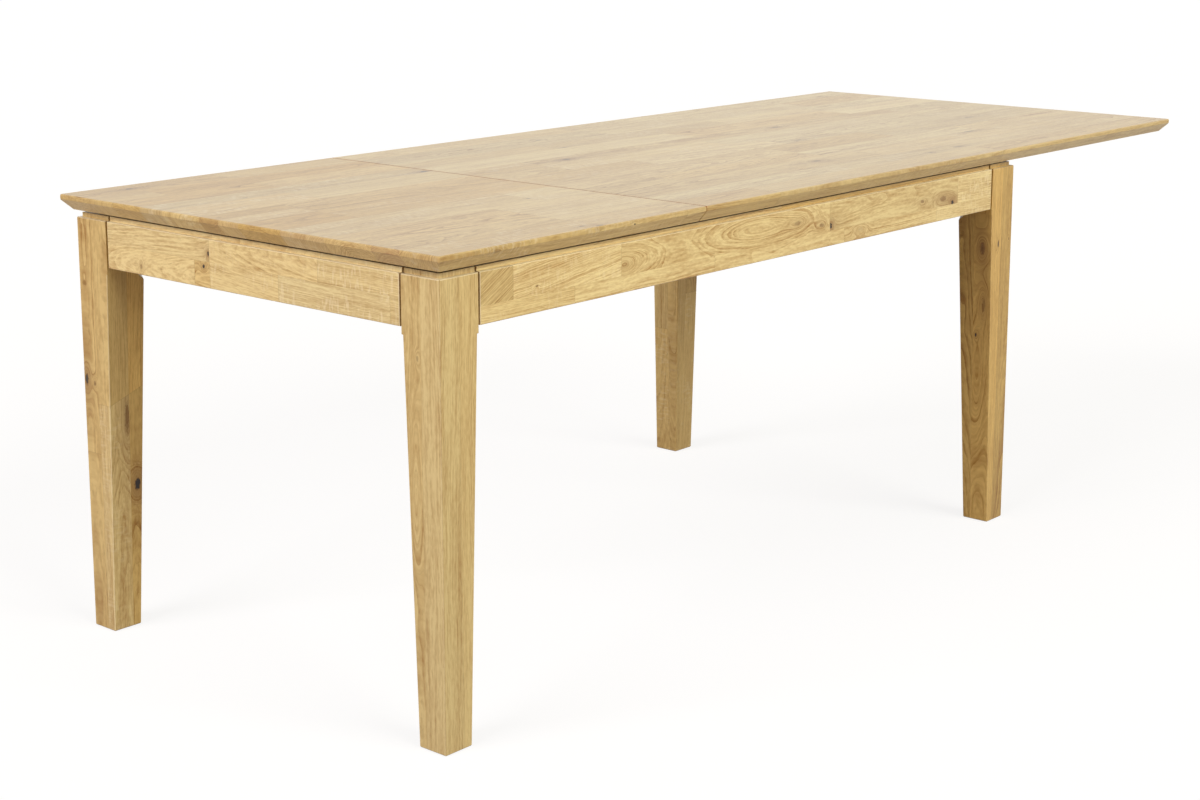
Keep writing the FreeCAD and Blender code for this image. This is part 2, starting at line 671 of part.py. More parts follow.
def bolt_line(distance, z):
    """A point on a hanger bolt's line, at a distance out of the leg's chamfer."""
    outward = V(1, 1, 0).normalize()
    flat = V(FRAME_LEFT, FRAME_FRONT, z) + V(1, 1, 0) * (LEG_WIDTH - LEG_CHAMFER / 2)
    return flat + outward * distance


def plate_distance():
    """How far the bracket's near face stands off the leg's chamfer."""
    return (PLATE_REACH + APRON_THICKNESS - 2 * LEG_WIDTH + LEG_CHAMFER) / math.sqrt(2)


def hanger_bolt(z, fit=0.0):
    """A hanger bolt of the front left leg: wood thread in the leg, machine thread through the bracket."""
    radius = HANGER_DIAMETER / 2 + fit
    washer_face = plate_distance() + PLATE_THICKNESS + WASHER_THICKNESS
    length = HANGER_BITE + washer_face + NUT_HEIGHT + HANGER_TAIL
    profile = [
        (0, -fit),
        (radius - HANGER_POINT, -fit),
        (radius, HANGER_POINT),
        (radius, length - HANGER_POINT),
        (radius - HANGER_POINT, length),
        (0, length),
    ]
    return turned(profile, bolt_line(-HANGER_BITE, z), V(1, 1, 0))


def washer(z):
    """A washer on the bracket's inner side."""
    hole = HANGER_DIAMETER / 2 + HOLE_FIT
    rim = WASHER_DIAMETER / 2
    profile = [(hole, 0), (rim, 0), (rim, WASHER_THICKNESS), (hole, WASHER_THICKNESS)]
    return turned(profile, bolt_line(plate_distance() + PLATE_THICKNESS, z), V(1, 1, 0))


def nut(z):
    """A hexagon nut on the washer."""
    corner = NUT_ACROSS_FLATS / math.sqrt(3)
    turns = [math.radians(60 * side) for side in range(6)]
    corners = [V(corner * math.cos(turn), corner * math.sin(turn), 0) for turn in turns]
    hexagon = prism(corners, ALONG_Z * NUT_HEIGHT)
    hexagon = hexagon.cut(rod(HANGER_DIAMETER + 2 * HOLE_FIT, NUT_HEIGHT, V(0, 0, 0), ALONG_Z))
    base = bolt_line(plate_distance() + PLATE_THICKNESS + WASHER_THICKNESS, z)
    hexagon.Placement = FreeCAD.Placement(base, FreeCAD.Rotation(ALONG_Z, V(1, 1, 0)))
    return hexagon


# ---------------------------------------------------------------- glides, buffers and locks
def guide_glide():
    """The strip on the front guide rail that carries the tops."""
    half = GUIDE_GLIDE_WIDTH / 2
    y_span = (GUIDE_MIDDLE - half, GUIDE_MIDDLE + half)
    return box((INNER_LEFT, INNER_RIGHT), y_span, (FRAME_TOP, UNDERSIDE))


def apron_glide():
    """The strip on the left end apron's lip."""
    middle = FRAME_LEFT + (REVEAL_DEPTH + APRON_THICKNESS) / 2
    half = APRON_GLIDE_WIDTH / 2
    front = GUIDE_INNER + APRON_GLIDE_INSET
    y_span = (front, -front)
    return box((middle - half, middle + half), y_span, (FRAME_TOP, UNDERSIDE))


def leg_pad():
    """The round pad on the front left leg's top."""
    inset = (REVEAL_DEPTH + LEG_WIDTH) / 2
    base = V(FRAME_LEFT + inset, FRAME_FRONT + inset, FRAME_TOP)
    return rod(LEG_PAD_DIAMETER, GLIDE_THICKNESS, base, ALONG_Z)


def stop_buffer():
    """The rubber buffer on the left end apron, in line with the front runner."""
    radius = BUFFER_DIAMETER / 2
    profile = [
        (0, 0),
        (radius, 0),
        (radius, BUFFER_LENGTH - BUFFER_EASE),
        (radius - BUFFER_EASE, BUFFER_LENGTH),
        (0, BUFFER_LENGTH),
    ]
    y = (RUNNER_FRONT + RUNNER_BACK) / 2
    z = (RUNNER_BOTTOM + UNDERSIDE) / 2
    return turned(profile, V(INNER_LEFT, y, z), ALONG_X)


def foot_glide(fit=0.0):
    """The nail-on glide sunk in the front left leg's foot. A fit makes it the hole instead."""
    radius = FOOT_GLIDE_DIAMETER / 2 + fit
    nail = FOOT_NAIL_DIAMETER / 2 + fit
    ease = 0.0 if fit else FOOT_GLIDE_EASE
    profile = [
        (0, -fit),
        (radius - ease, -fit),
        (radius, ease - fit),
        (radius, FOOT_GLIDE_HEIGHT + fit),
        (nail, FOOT_GLIDE_HEIGHT + fit),
        (nail, FOOT_GLIDE_HEIGHT + FOOT_NAIL_LENGTH - FOOT_NAIL_DIAMETER),
        (0, FOOT_GLIDE_HEIGHT + FOOT_NAIL_LENGTH + fit),
    ]
    return turned(profile, V(FRAME_LEFT + LEG_FOOT / 2, FRAME_FRONT + LEG_FOOT / 2, 0), ALONG_Z)


def lock_sleeve():
    """The flanged sleeve through the front guide rail."""
    hole = PIN_DIAMETER / 2 + PIN_FIT
    tube = SLEEVE_DIAMETER / 2
    flange = SLEEVE_FLANGE_DIAMETER / 2
    end = SLEEVE_FLANGE + GUIDE_WIDTH
    profile = [
        (hole, 0),
        (flange, 0),
        (flange, SLEEVE_FLANGE),
        (tube, SLEEVE_FLANGE),
        (tube, end),
        (hole, end),
    ]
    return turned(profile, V(PIN_X, GUIDE_FRONT - SLEEVE_FLANGE, PIN_AXIS), ALONG_Y)


def lock_pin():
    """The front locking pin, drawn back: a round pin with a turned knob."""
    pin = PIN_DIAMETER / 2
    knob = KNOB_DIAMETER / 2
    neck = KNOB_NECK / 2
    knob_face = GUIDE_FRONT - SLEEVE_FLANGE - KNOB_GAP - PIN_TRAVEL
    base = knob_face - KNOB_LENGTH
    length = PIN_TIP - base
    profile = [
        (0, 0),
        (knob - KNOB_CROWN, 0),
        (knob, KNOB_CROWN),
        (knob, KNOB_RIM),
        (neck, KNOB_LENGTH - KNOB_COLLAR),
        (neck, KNOB_LENGTH),
        (pin, KNOB_LENGTH),
        (pin, length - PIN_POINT),
        (pin - PIN_POINT, length),
        (0, length),
    ]
    return turned(profile, V(PIN_X, base, PIN_AXIS), ALONG_Y)


# ---------------------------------------------------------------- the whole table
def all_corners(name, shape):
    """The same piece at the four corners, each in a node of its own."""
    return {
        name + "_front_left": shape,
        name + "_back_left": to_back(shape),
        name + "_front_right": to_right(shape),
        name + "_back_right": to_back(to_right(shape)),
    }


def pair(name, shape, mirrored, sides):
    """A piece and its mirror image, each in a node of its own."""
    return {name + "_" + sides[0]: shape, name + "_" + sides[1]: mirrored(shape)}


def build():
    """Every piece by the name of its node."""
    lengthwise = ("front", "back")
    crosswise = ("left", "right")
    left_rail, right_rail = cross_rail_places()
    left_batten, middle_batten, right_batten = batten_places()
    pieces = {"main_top": main_top(), "leaf": leaf(), "leaf_dowels": group(dowels())}
    pieces.update(all_corners("leg", leg()))
    pieces.update(pair("apron", apron_front(), to_back, lengthwise))
    pieces.update(pair("apron", apron_left(), to_right, crosswise))
    pieces.update(pair("guide_rail", guide_rail(), to_back, lengthwise))
    pieces["cross_rail_left"] = cross_rail(left_rail)
    pieces["cross_rail_right"] = cross_rail(right_rail)
    pieces["guide_screws"] = front_and_back(guide_screws())
    pieces.update(pair("runner", runner(), to_back, lengthwise))
    pieces["runner_screws"] = front_and_back(runner_screws())
    pieces["batten_left"] = batten(left_batten)
    pieces["batten_middle"] = batten(middle_batten)
    pieces["batten_right"] = batten(right_batten)
    pieces["batten_screws"] = group(batten_screws())
    pieces.update(all_corners("corner_bracket", bracket()))
    sides = (True, False)
    screws = [bracket_screw(side, z) for side in sides for z in bracket_screw_levels()]
    pieces["bracket_screws"] = at_corners(screws)
    pieces["hanger_bolts"] = at_corners([hanger_bolt(z) for z in hanger_levels()])
    pieces["bracket_washers"] = at_corners([washer(z) for z in hanger_levels()])
    pieces["bracket_nuts"] = at_corners([nut(z) for z in hanger_levels()])
    pieces.update(pair("guide_glide", guide_glide(), to_back, lengthwise))
    pieces.update(pair("apron_glide", apron_glide(), to_right, crosswise))
    pieces.update(all_corners("leg_pad", leg_pad()))
    pieces.update(all_corners("stop_buffer", stop_buffer()))
    pieces.update(all_corners("foot_glide", foot_glide()))
    pieces.update(pair("lock_sleeve", lock_sleeve(), to_back, lengthwise))
    pieces.update(pair("lock_pin", lock_pin(), to_back, lengthwise))
    return pieces


os.makedirs("parts", exist_ok=True)
for node, shape in build().items():
    shape.exportStep("parts/" + node + ".step")
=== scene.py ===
"""Looks of an extending oak table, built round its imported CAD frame. Everything is in metres."""
import bisect
import json
import math
import random

import bmesh
import bpy
from mathutils import Matrix, Vector

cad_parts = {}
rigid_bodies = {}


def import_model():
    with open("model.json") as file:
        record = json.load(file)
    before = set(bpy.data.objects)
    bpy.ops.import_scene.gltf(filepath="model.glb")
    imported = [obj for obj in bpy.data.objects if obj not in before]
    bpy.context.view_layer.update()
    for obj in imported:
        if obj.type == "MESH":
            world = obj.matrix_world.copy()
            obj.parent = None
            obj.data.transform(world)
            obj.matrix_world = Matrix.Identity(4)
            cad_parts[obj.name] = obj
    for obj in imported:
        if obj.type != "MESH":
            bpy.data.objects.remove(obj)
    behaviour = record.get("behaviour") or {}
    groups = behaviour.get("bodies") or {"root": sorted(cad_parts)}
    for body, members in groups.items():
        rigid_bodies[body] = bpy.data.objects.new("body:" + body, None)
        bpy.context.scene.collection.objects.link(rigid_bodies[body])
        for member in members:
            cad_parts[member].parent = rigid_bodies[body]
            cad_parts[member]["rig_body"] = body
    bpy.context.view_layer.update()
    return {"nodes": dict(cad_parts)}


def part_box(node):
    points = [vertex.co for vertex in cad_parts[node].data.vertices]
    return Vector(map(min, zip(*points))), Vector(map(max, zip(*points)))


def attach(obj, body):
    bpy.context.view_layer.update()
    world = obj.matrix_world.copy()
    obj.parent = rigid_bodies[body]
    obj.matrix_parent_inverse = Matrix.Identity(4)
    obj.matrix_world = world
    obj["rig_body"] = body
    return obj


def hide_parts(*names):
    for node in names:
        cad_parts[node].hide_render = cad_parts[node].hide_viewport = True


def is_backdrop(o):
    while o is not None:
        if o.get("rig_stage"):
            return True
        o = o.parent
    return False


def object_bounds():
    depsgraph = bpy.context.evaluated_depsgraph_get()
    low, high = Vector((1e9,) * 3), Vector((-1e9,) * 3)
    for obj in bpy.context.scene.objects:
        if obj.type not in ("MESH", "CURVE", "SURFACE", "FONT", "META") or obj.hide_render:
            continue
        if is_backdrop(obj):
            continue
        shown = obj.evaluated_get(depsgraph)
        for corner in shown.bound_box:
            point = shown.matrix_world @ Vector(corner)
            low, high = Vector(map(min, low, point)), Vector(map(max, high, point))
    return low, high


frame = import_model()

AXIS = {"x": 0, "y": 1, "z": 2}

# ---------------------------------------------------------------- places taken from the frame
MAIN_LOW, MAIN_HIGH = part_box("main_top")
LEAF_LOW, LEAF_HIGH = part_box("leaf")
TOP_FACE = MAIN_HIGH.z
RECESS = 0.012              # height of the recess round the frame, right under the tops
FACE_TOP = MAIN_LOW.z - RECESS
FRONT_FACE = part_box("apron_front")[0].y
LEFT_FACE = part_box("apron_left")[0].x
SEAM = MAIN_LOW.x


# ---------------------------------------------------------------- colours
def srgb(text):
    """A colour written as six hexadecimal digits, in the linear values that shaders take."""
    parts = [int(text[start:start + 2], 16) / 255 for start in (0, 2, 4)]
    linear = [part / 12.92 if part <= 0.04045 else ((part + 0.055) / 1.055) ** 2.4 for part in parts]
    return (*linear, 1.0)


# ---------------------------------------------------------------- node graphs
class Graph:
    """The nodes of one material, written as expressions. A value is a number, a vector or a socket."""

    def __init__(self, name):
        self.material = bpy.data.materials.new(name)
        self.material.use_nodes = True
        self.tree = self.material.node_tree
        self.tree.nodes.clear()

    def feed(self, socket, value):
        if isinstance(value, bpy.types.NodeSocket):
            self.tree.links.new(value, socket)
        else:
            socket.default_value = value

    def node(self, kind, inputs=(), **settings):
        made = self.tree.nodes.new("ShaderNode" + kind)
        for name, value in settings.items():
            setattr(made, name, value)
        for key, value in dict(inputs).items():
            self.feed(made.inputs[key], value)
        return made

    def math(self, operation, *values, clamp=False):
        made = self.node("Math", dict(enumerate(values)), operation=operation, use_clamp=clamp)
        return made.outputs[0]

    def vector(self, operation, *values):
        made = self.node("VectorMath", dict(enumerate(values)), operation=operation)
        return made.outputs["Value" if operation in ("LENGTH", "DOT_PRODUCT") else "Vector"]

    def scaled(self, vector, factors):
        return self.vector("MULTIPLY", vector, factors)

    def parts(self, vector):
        return self.node("SeparateXYZ", {0: vector}).outputs

    def joined(self, x, y, z):
        return self.node("CombineXYZ", {0: x, 1: y, 2: z}).outputs[0]

    def attribute(self, name):
        return self.node("Attribute", attribute_name=name).outputs["Vector"]

    def noise(self, vector, scale=1.0, detail=2.0, roughness=0.5):
        inputs = {"Vector": vector, "Scale": scale, "Detail": detail, "Roughness": roughness}
        return self.node("TexNoise", inputs)

    def smooth(self, value, low, high, to_low=0.0, to_high=1.0):
        """A soft step from to_low to to_high as the value goes from low to high."""
        inputs = {"Value": value, "From Min": low, "From Max": high, "To Min": to_low, "To Max": to_high}
        made = self.node("MapRange", inputs, interpolation_type="SMOOTHSTEP")
        return made.outputs["Result"]

    def mix(self, factor, first, second, blend="MIX"):
        inputs = {0: factor, 6: first, 7: second}
        made = self.node("Mix", inputs, data_type="RGBA", blend_type=blend)
        return made.outputs[2]

    def bell(self, vector):
        """1 at the vector's origin, falling softly to 0 past a length of 1."""
        square = self.vector("DOT_PRODUCT", vector, vector)
        return self.math("EXPONENT", self.math("MULTIPLY", square, -1.0))

    def bump(self, height, distance, strength=1.0):
        inputs = {"Height": height, "Distance": distance, "Strength": strength}
        return self.node("Bump", inputs).outputs["Normal"]

    def surface(self, **inputs):
        """Ends the material with a Principled shader. An underscore in a name stands for a space."""
        named = {name.replace("_", " "): value for name, value in inputs.items()}
        shader = self.node("BsdfPrincipled", named)
        self.node("OutputMaterial", {"Surface": shader.outputs[0]})
        return self.material


# ---------------------------------------------------------------- wood
PAINTED_SHADE = srgb("6f4229")       # colour of painted shade: recess, under the tops, undersides, down-facing edges, near corner
SEAM_DUST_AND_SHADE = srgb("9c520a")       # dust and painted shade in the eased edges of the seam
RING_WIDTH = 0.0032         # one year's growth, on average
RING_UNEVENNESS = 0.008     # how far a ring may lie from its even place
RING_DRIFT = 0.022          # how far the rings wander along a stave
RING_BOW = 1.5              # how far they bow round a knot, as a share of its breadth
PLAIN_GRAIN = 0.17          # how much of the line's colour the wood between the lines has
END_JOINT = 0.0007          # half the width of the dark line where two staves meet end to end
SIDE_JOINT = 0.0005         # and side to side
PORE_DEPTH = 0.00012
FLECK_SHARE = 0.5           # how much of each colour shows where its mark is full
PORE_SHARE = 0.35
STAIN_SHARE = 0.3
HALO_SHARE = 0.6
# share of the fleck colour in a painted highlight
PAINTED_HIGHLIGHT_SHARE = 0.8
END_JOINT_SHARE = 0.3
SIDE_JOINT_SHARE = 0.12
SEED_STEPS = (37.0, 91.0, 53.0)     # a stave's seed moves its noises apart
UNEVENNESS_SCALE = 150.0    # of the rings' unevenness, in a metre outward
KNOTS = ("a", "b", "c", "d", "e")   # places for knots in one stave
NO_KNOT = {"knot_": (9.0, 9.0, 9.0), "knot_size_": (0.001, 0.001, 0.0)}
FAR = 1.0                   # distance to a joint that a stave doesn't have
NOISE_MIDDLE = (0.5, 0.5, 0.5)

# How often each noise changes along, across and through a stave, in a metre
DRIFT = (2.2, 9.0, 9.0)
WAVES = (13.0, 34.0, 34.0)
KNOT_EDGE = (190.0, 420.0, 420.0)
CLOUDS = (3.0, 14.0, 14.0)
FLECK_PATCHES = (11.0, 26.0, 26.0)
FLECKS = (210.0, 60.0, 60.0)
# The same for those that follow the growth rings
STREAKS = (2.6, 66.0, 66.0)
FIBRES = (14.0, 460.0, 460.0)
DASHES = (90.0, 600.0, 600.0)
PORES = (60.0, 1500.0, 1500.0)


def wood(name, pale, warm, fleck, line, pore, end, knot, knot_heart, rings, roughness=0.45, coat=0.78):
    """Solid wood whose rings, pores, flecks and knots follow the stave that each face belongs to.

    The mesh carries the stave's own coordinates (wood: along, across, through), its pith (pith: across,
    through and lean), its tint (tint: lightness, warmth, seed), its figure (figure: rings, flecks, waves),
    the distances to its joints and its painted shade (ends, sides), its end grain, the dust and painted
    shade of the seam, and its painted shading (face), and its knots. The painted shading is above 0 where a
    painted highlight lightens an edge, and below 0 where painted shade darkens recesses, undersides, edges
    that face down and one corner."""
    g = Graph(name)
    place = g.attribute("wood")
    along, across, through = g.parts(place)
    lightness, warmth, seed = g.parts(g.attribute("tint"))
    pith_across, pith_through, lean = g.parts(g.attribute("pith"))
    ring_share, fleck_share, waves = g.parts(g.attribute("figure"))
    end_grain, seam_dust_and_shade, painted_shading = g.parts(g.attribute("face"))
    seeds = [g.math("MULTIPLY", seed, step) for step in SEED_STEPS]
    shift = g.joined(seeds[0], seeds[1], seed)

    def field(scale, detail=2.0):
        return g.noise(g.vector("ADD", g.scaled(place, scale), shift), detail=detail).outputs

    slow = g.parts(g.vector("SUBTRACT", field(DRIFT)["Color"], NOISE_MIDDLE))
    quick = g.parts(g.vector("SUBTRACT", field(WAVES)["Color"], NOISE_MIDDLE))
    side = g.math("MULTIPLY_ADD", slow[0], RING_DRIFT, g.math("SUBTRACT", across, pith_across))
    side = g.math("MULTIPLY_ADD", quick[0], waves, side)
    depth = g.math("MULTIPLY_ADD", slow[1], RING_DRIFT, g.math("SUBTRACT", through, pith_through))
    depth = g.math("MULTIPLY_ADD", quick[1], waves, depth)
    depth = g.math("SUBTRACT", depth, g.math("MULTIPLY", lean, along))
    radius = g.vector("LENGTH", g.joined(side, depth, 0.0))

    ragged = field(KNOT_EDGE, 3.0)["Fac"]
    heart = halo = stain = 0.0
    for letter in KNOTS:
        length, breadth, dark = g.parts(g.attribute("knot_size_" + letter))
        offset = g.vector("SUBTRACT", place, g.attribute("knot_" + letter))
        near = g.vector("DIVIDE", offset, g.joined(length, breadth, breadth))
        swell = g.bell(near)
        radius = g.math("MULTIPLY_ADD", swell, g.math("MULTIPLY", breadth, RING_BOW), radius)
        spread = g.math("MULTIPLY", dark, g.smooth(breadth, 0.003, 0.014))
        halo = g.math("MULTIPLY_ADD", swell, spread, halo)
        stain = g.math("MULTIPLY_ADD", g.bell(g.scaled(near, (0.3, 0.9, 0.9))), spread, stain)
        edge = g.math("MULTIPLY_ADD", ragged, 0.5, g.vector("LENGTH", near))
        heart = g.math("MULTIPLY_ADD", g.smooth(edge, 0.7, 0.5), dark, heart)

    growth = g.joined(along, radius, g.math("MULTIPLY", side, 0.4))

    def grown(scale, detail=2.0):
        """A noise that follows the bends of the growth rings."""
        return g.noise(g.vector("ADD", g.scaled(growth, scale), shift), detail=detail).outputs["Fac"]

    outward = g.joined(g.math("MULTIPLY", radius, UNEVENNESS_SCALE), seeds[2], 0.0)
    uneven = g.noise(outward, detail=1.0).outputs["Fac"]
    years = g.math("DIVIDE", g.math("MULTIPLY_ADD", uneven, RING_UNEVENNESS, radius), RING_WIDTH)
    year = g.joined(g.math("FLOOR", years), seed, 0.0)
    strength = g.node("TexWhiteNoise", {"Vector": year}).outputs["Value"]
    streaks = grown(STREAKS)
    ring = g.math("POWER", g.math("SUBTRACT", 1.0, g.math("FRACT", years)), 2.0)
    ring = g.math("MULTIPLY", ring, g.math("MULTIPLY_ADD", strength, 0.8, 0.2))
    ring = g.math("MULTIPLY", ring, g.smooth(streaks, 0.3, 0.6, 0.35, 1.0))
    fibres = grown(FIBRES)
    dashes = grown(DASHES)
    cloud = field(CLOUDS)["Fac"]
    open_pore = g.smooth(grown(PORES, 1.0), 0.58, 0.7)
    open_pore = g.math("MULTIPLY", open_pore, g.math("ADD", 0.25, ring))
    patch = g.smooth(field(FLECK_PATCHES, 1.0)["Fac"], 0.4, 0.6)
    flecks = g.math("MULTIPLY", g.smooth(field(FLECKS)["Fac"], 0.48, 0.64), patch)
    flecks = g.math("MULTIPLY", flecks, fleck_share)

    grain = g.math("MULTIPLY_ADD", ring, g.math("MULTIPLY", ring_share, rings), PLAIN_GRAIN)
    for noise, share in ((fibres, 1.1), (dashes, 0.75), (streaks, 0.35), (cloud, 0.5)):
        grain = g.math("MULTIPLY_ADD", g.math("SUBTRACT", noise, 0.5), share, grain)
    colour = g.mix(g.smooth(warmth, 0.0, 1.0), pale, warm)
    colour = g.mix(g.math("MAXIMUM", grain, 0.0), colour, line)
    colour = g.mix(g.math("MULTIPLY", flecks, FLECK_SHARE), colour, fleck)
    colour = g.mix(g.math("MULTIPLY", open_pore, PORE_SHARE), colour, pore)
    colour = g.mix(g.math("MULTIPLY", stain, STAIN_SHARE, clamp=True), colour, knot)
    colour = g.mix(g.math("MULTIPLY", halo, HALO_SHARE, clamp=True), colour, knot)
    heart_colour = g.mix(g.smooth(heart, 0.65, 0.9), pore, knot_heart)
    colour = g.mix(g.math("MINIMUM", heart, 1.0), colour, heart_colour)
    colour = g.mix(g.math("MULTIPLY", end_grain, g.math("ADD", ring, 0.75)), colour, end)
    ends, sides = g.parts(g.attribute("ends")), g.parts(g.attribute("sides"))
    end_gap = g.math("MINIMUM", ends[0], ends[1])
    side_gap = g.math("MINIMUM", sides[0], g.math("MINIMUM", sides[1], sides[2]))
    end_joint = g.smooth(end_gap, 0.0, END_JOINT, END_JOINT_SHARE, 0.0)
    side_joint = g.smooth(side_gap, 0.0, SIDE_JOINT, SIDE_JOINT_SHARE, 0.0)
    colour = g.mix(g.math("MAXIMUM", end_joint, side_joint), colour, pore)
    # dust and painted shade in the seam's eased edges
    colour = g.mix(seam_dust_and_shade, colour, SEAM_DUST_AND_SHADE)
    # painted highlight where the painted shading is above 0, painted shade where it is below 0
    colour = g.mix(g.math("MULTIPLY", painted_shading, PAINTED_HIGHLIGHT_SHARE, clamp=True), colour, fleck)
    colour = g.mix(g.math("MULTIPLY", painted_shading, -1.0, clamp=True), colour, PAINTED_SHADE)
    # ends[2] holds painted shade: darker towards the floor and in the recess
    shade = g.math("MULTIPLY", lightness, ends[2])
    colour = g.mix(1.0, colour, g.joined(shade, shade, shade), "MULTIPLY")

    relief = g.math("MULTIPLY_ADD", open_pore, -1.0, g.math("MULTIPLY", ring, -0.3))
    gloss = g.math("MULTIPLY_ADD", open_pore, 0.2, g.math("MULTIPLY_ADD", flecks, -0.08, roughness))
    return g.surface(
        Base_Color=colour,
        Roughness=gloss,
        Normal=g.bump(relief, PORE_DEPTH, 0.6),
        IOR=1.3,
        Coat_Weight=coat,
        Coat_IOR=1.35,
        Coat_Roughness=0.32,
    )


# ---------------------------------------------------------------- staves
STAVE_VARIATION = 0.035     # how much the lightness of the staves varies
WARMTH_OF_DARK = 2.5        # how much warmer darker staves are
END_GRAIN = 1.2             # how much of the end grain's colour an end takes, before its own thirst
END_GRAIN_FALL = 1.5        # how fast that fades on faces that turn along the grain
SEAM_REACH = 0.002          # how far from the seam its eased edges reach
SEAM_LEAN = (0.3, 0.95)     # how far their faces lean along the grain
LEDGE = 0.004               # how far over the frame's faces the ledge of the recess reaches
LIP_SHADOW = 0.25           # how much darker the recess is above that ledge
LIP_END = 0.001             # where that stops, under the tops
MERGE = 1e-6                # points nearer than this are one
FLAT_COSINE = 0.999999      # faces that turn less than this belong to one flat
SOFT_COSINE = 0.8           # faces that turn more than this meet in a sharp edge

# Places of a stave's pith across and through it, and how much its rings and flecks show, by how it was sawn
FLAT_SAWN = {"across": (0.0, 0.02), "through": (0.03, 0.07), "rings": (0.5, 1.0), "flecks": (0.0, 0.2)}
QUARTER_SAWN = {"across": (0.05, 0.12), "through": (0.0, 0.04), "rings": (0.25, 0.6), "flecks": (0.2, 0.9)}
SIDES = (-1, 1)

# Painted shading: above 0 a painted highlight lightens an edge, and below 0 painted shade darkens it
LEDGE_PAINTED_HIGHLIGHT = 1.3            # painted highlight on the ledge under the recess
RECESS_PAINTED_SHADE = -0.03            # painted shade in the recess
HIDDEN_PAINTED_SHADE = -0.5          # painted shade on what lies under the tops
DOWN_EDGE_PAINTED_SHADE = -0.3            # painted shade on edges that face down
# painted shade on the front half of the near leg's outer corner
NEAR_CORNER_PAINTED_SHADE = -0.28
NEAR_CORNER_REACH = 0.003
UNDERSIDE_PAINTED_SHADE = -0.6       # painted shade on the undersides of the tops
UNDERSIDE_TURN = -0.72      # faces of the tops that look down more than this are their underside
FLAT_TURN = 0.97            # faces of the frame that are squarer to an axis than this aren't eased edges
FACE_SLACK = 0.0001


class Knot:
    """A knot at a point of the table: its reach along and across the grain, and how dark its heart is."""

    def __init__(self, point, along=0.02, across=0.010, dark=0.8):
        self.point, self.size = Vector(point), (along, across, dark)


def cut(mesh, faces, point, normal):
    """Cuts some faces of a mesh along a plane."""
    faces = list(faces)
    edges = {edge for face in faces for edge in face.edges}
    corners = {corner for face in faces for corner in face.verts}
    geometry = faces + list(edges) + list(corners)
    bmesh.ops.bisect_plane(mesh, geom=geometry, dist=MERGE, plane_co=point, plane_no=normal)


def steady_normals(data):
    """Gives a mesh normals that stay square over its flat faces and turn only over its rounded edges."""
    mesh = bmesh.new()
    mesh.from_mesh(data)
    mesh.faces.ensure_lookup_table()
    flat_of, areas = [-1] * len(mesh.faces), []
    for start in mesh.faces:
        if flat_of[start.index] >= 0:
            continue
        flat_of[start.index], area, waiting = len(areas), 0.0, [start]
        while waiting:
            face = waiting.pop()
            area += face.calc_area()
            for edge in face.edges:
                for other in edge.link_faces:
                    if flat_of[other.index] < 0 and other.normal.dot(face.normal) > FLAT_COSINE:
                        flat_of[other.index] = len(areas)
                        waiting.append(other)
        areas.append(area)
    normals = []
    for face in mesh.faces:
        for corner in face.verts:
            around = {flat_of[other.index]: other.normal for other in corner.link_faces
                      if other.normal.dot(face.normal) > SOFT_COSINE}
            total = sum((normal * areas[flat] for flat, normal in around.items()), Vector())
            normals.append(total.normalized())
    mesh.free()
    data.polygons.foreach_set("use_smooth", [True] * len(data.polygons))
    data.normals_split_custom_set(normals)


def unit(axis):
    return Vector(1.0 if axis == name else 0.0 for name in "xyz")


def stave_style(chance, spread):
    """How one stave was cut from its log, and its look. The tint of staves differs by their spread."""
    sawn = FLAT_SAWN if chance.random() < 0.5 else QUARTER_SAWN
    pith_across = chance.choice(SIDES) * chance.uniform(*sawn["across"])
    pith_through = chance.choice(SIDES) * chance.uniform(*sawn["through"])
    rings = chance.uniform(*sawn["rings"])
    flecks = chance.uniform(*sawn["flecks"])
    lightness = 1.0 + chance.gauss(0, STAVE_VARIATION * spread)
    warmth = min(1.0, max(0.0, chance.gauss(0.45, 0.12) + WARMTH_OF_DARK * (1.0 - lightness)))
    return {
        "pith": (pith_across, pith_through, chance.uniform(-0.05, 0.05)),
        "tint": (lightness, warmth, chance.random()),
        "figure": (rings, flecks, chance.uniform(0.001, 0.006)),
        "thirst": chance.uniform(0.05, 0.65),
    }


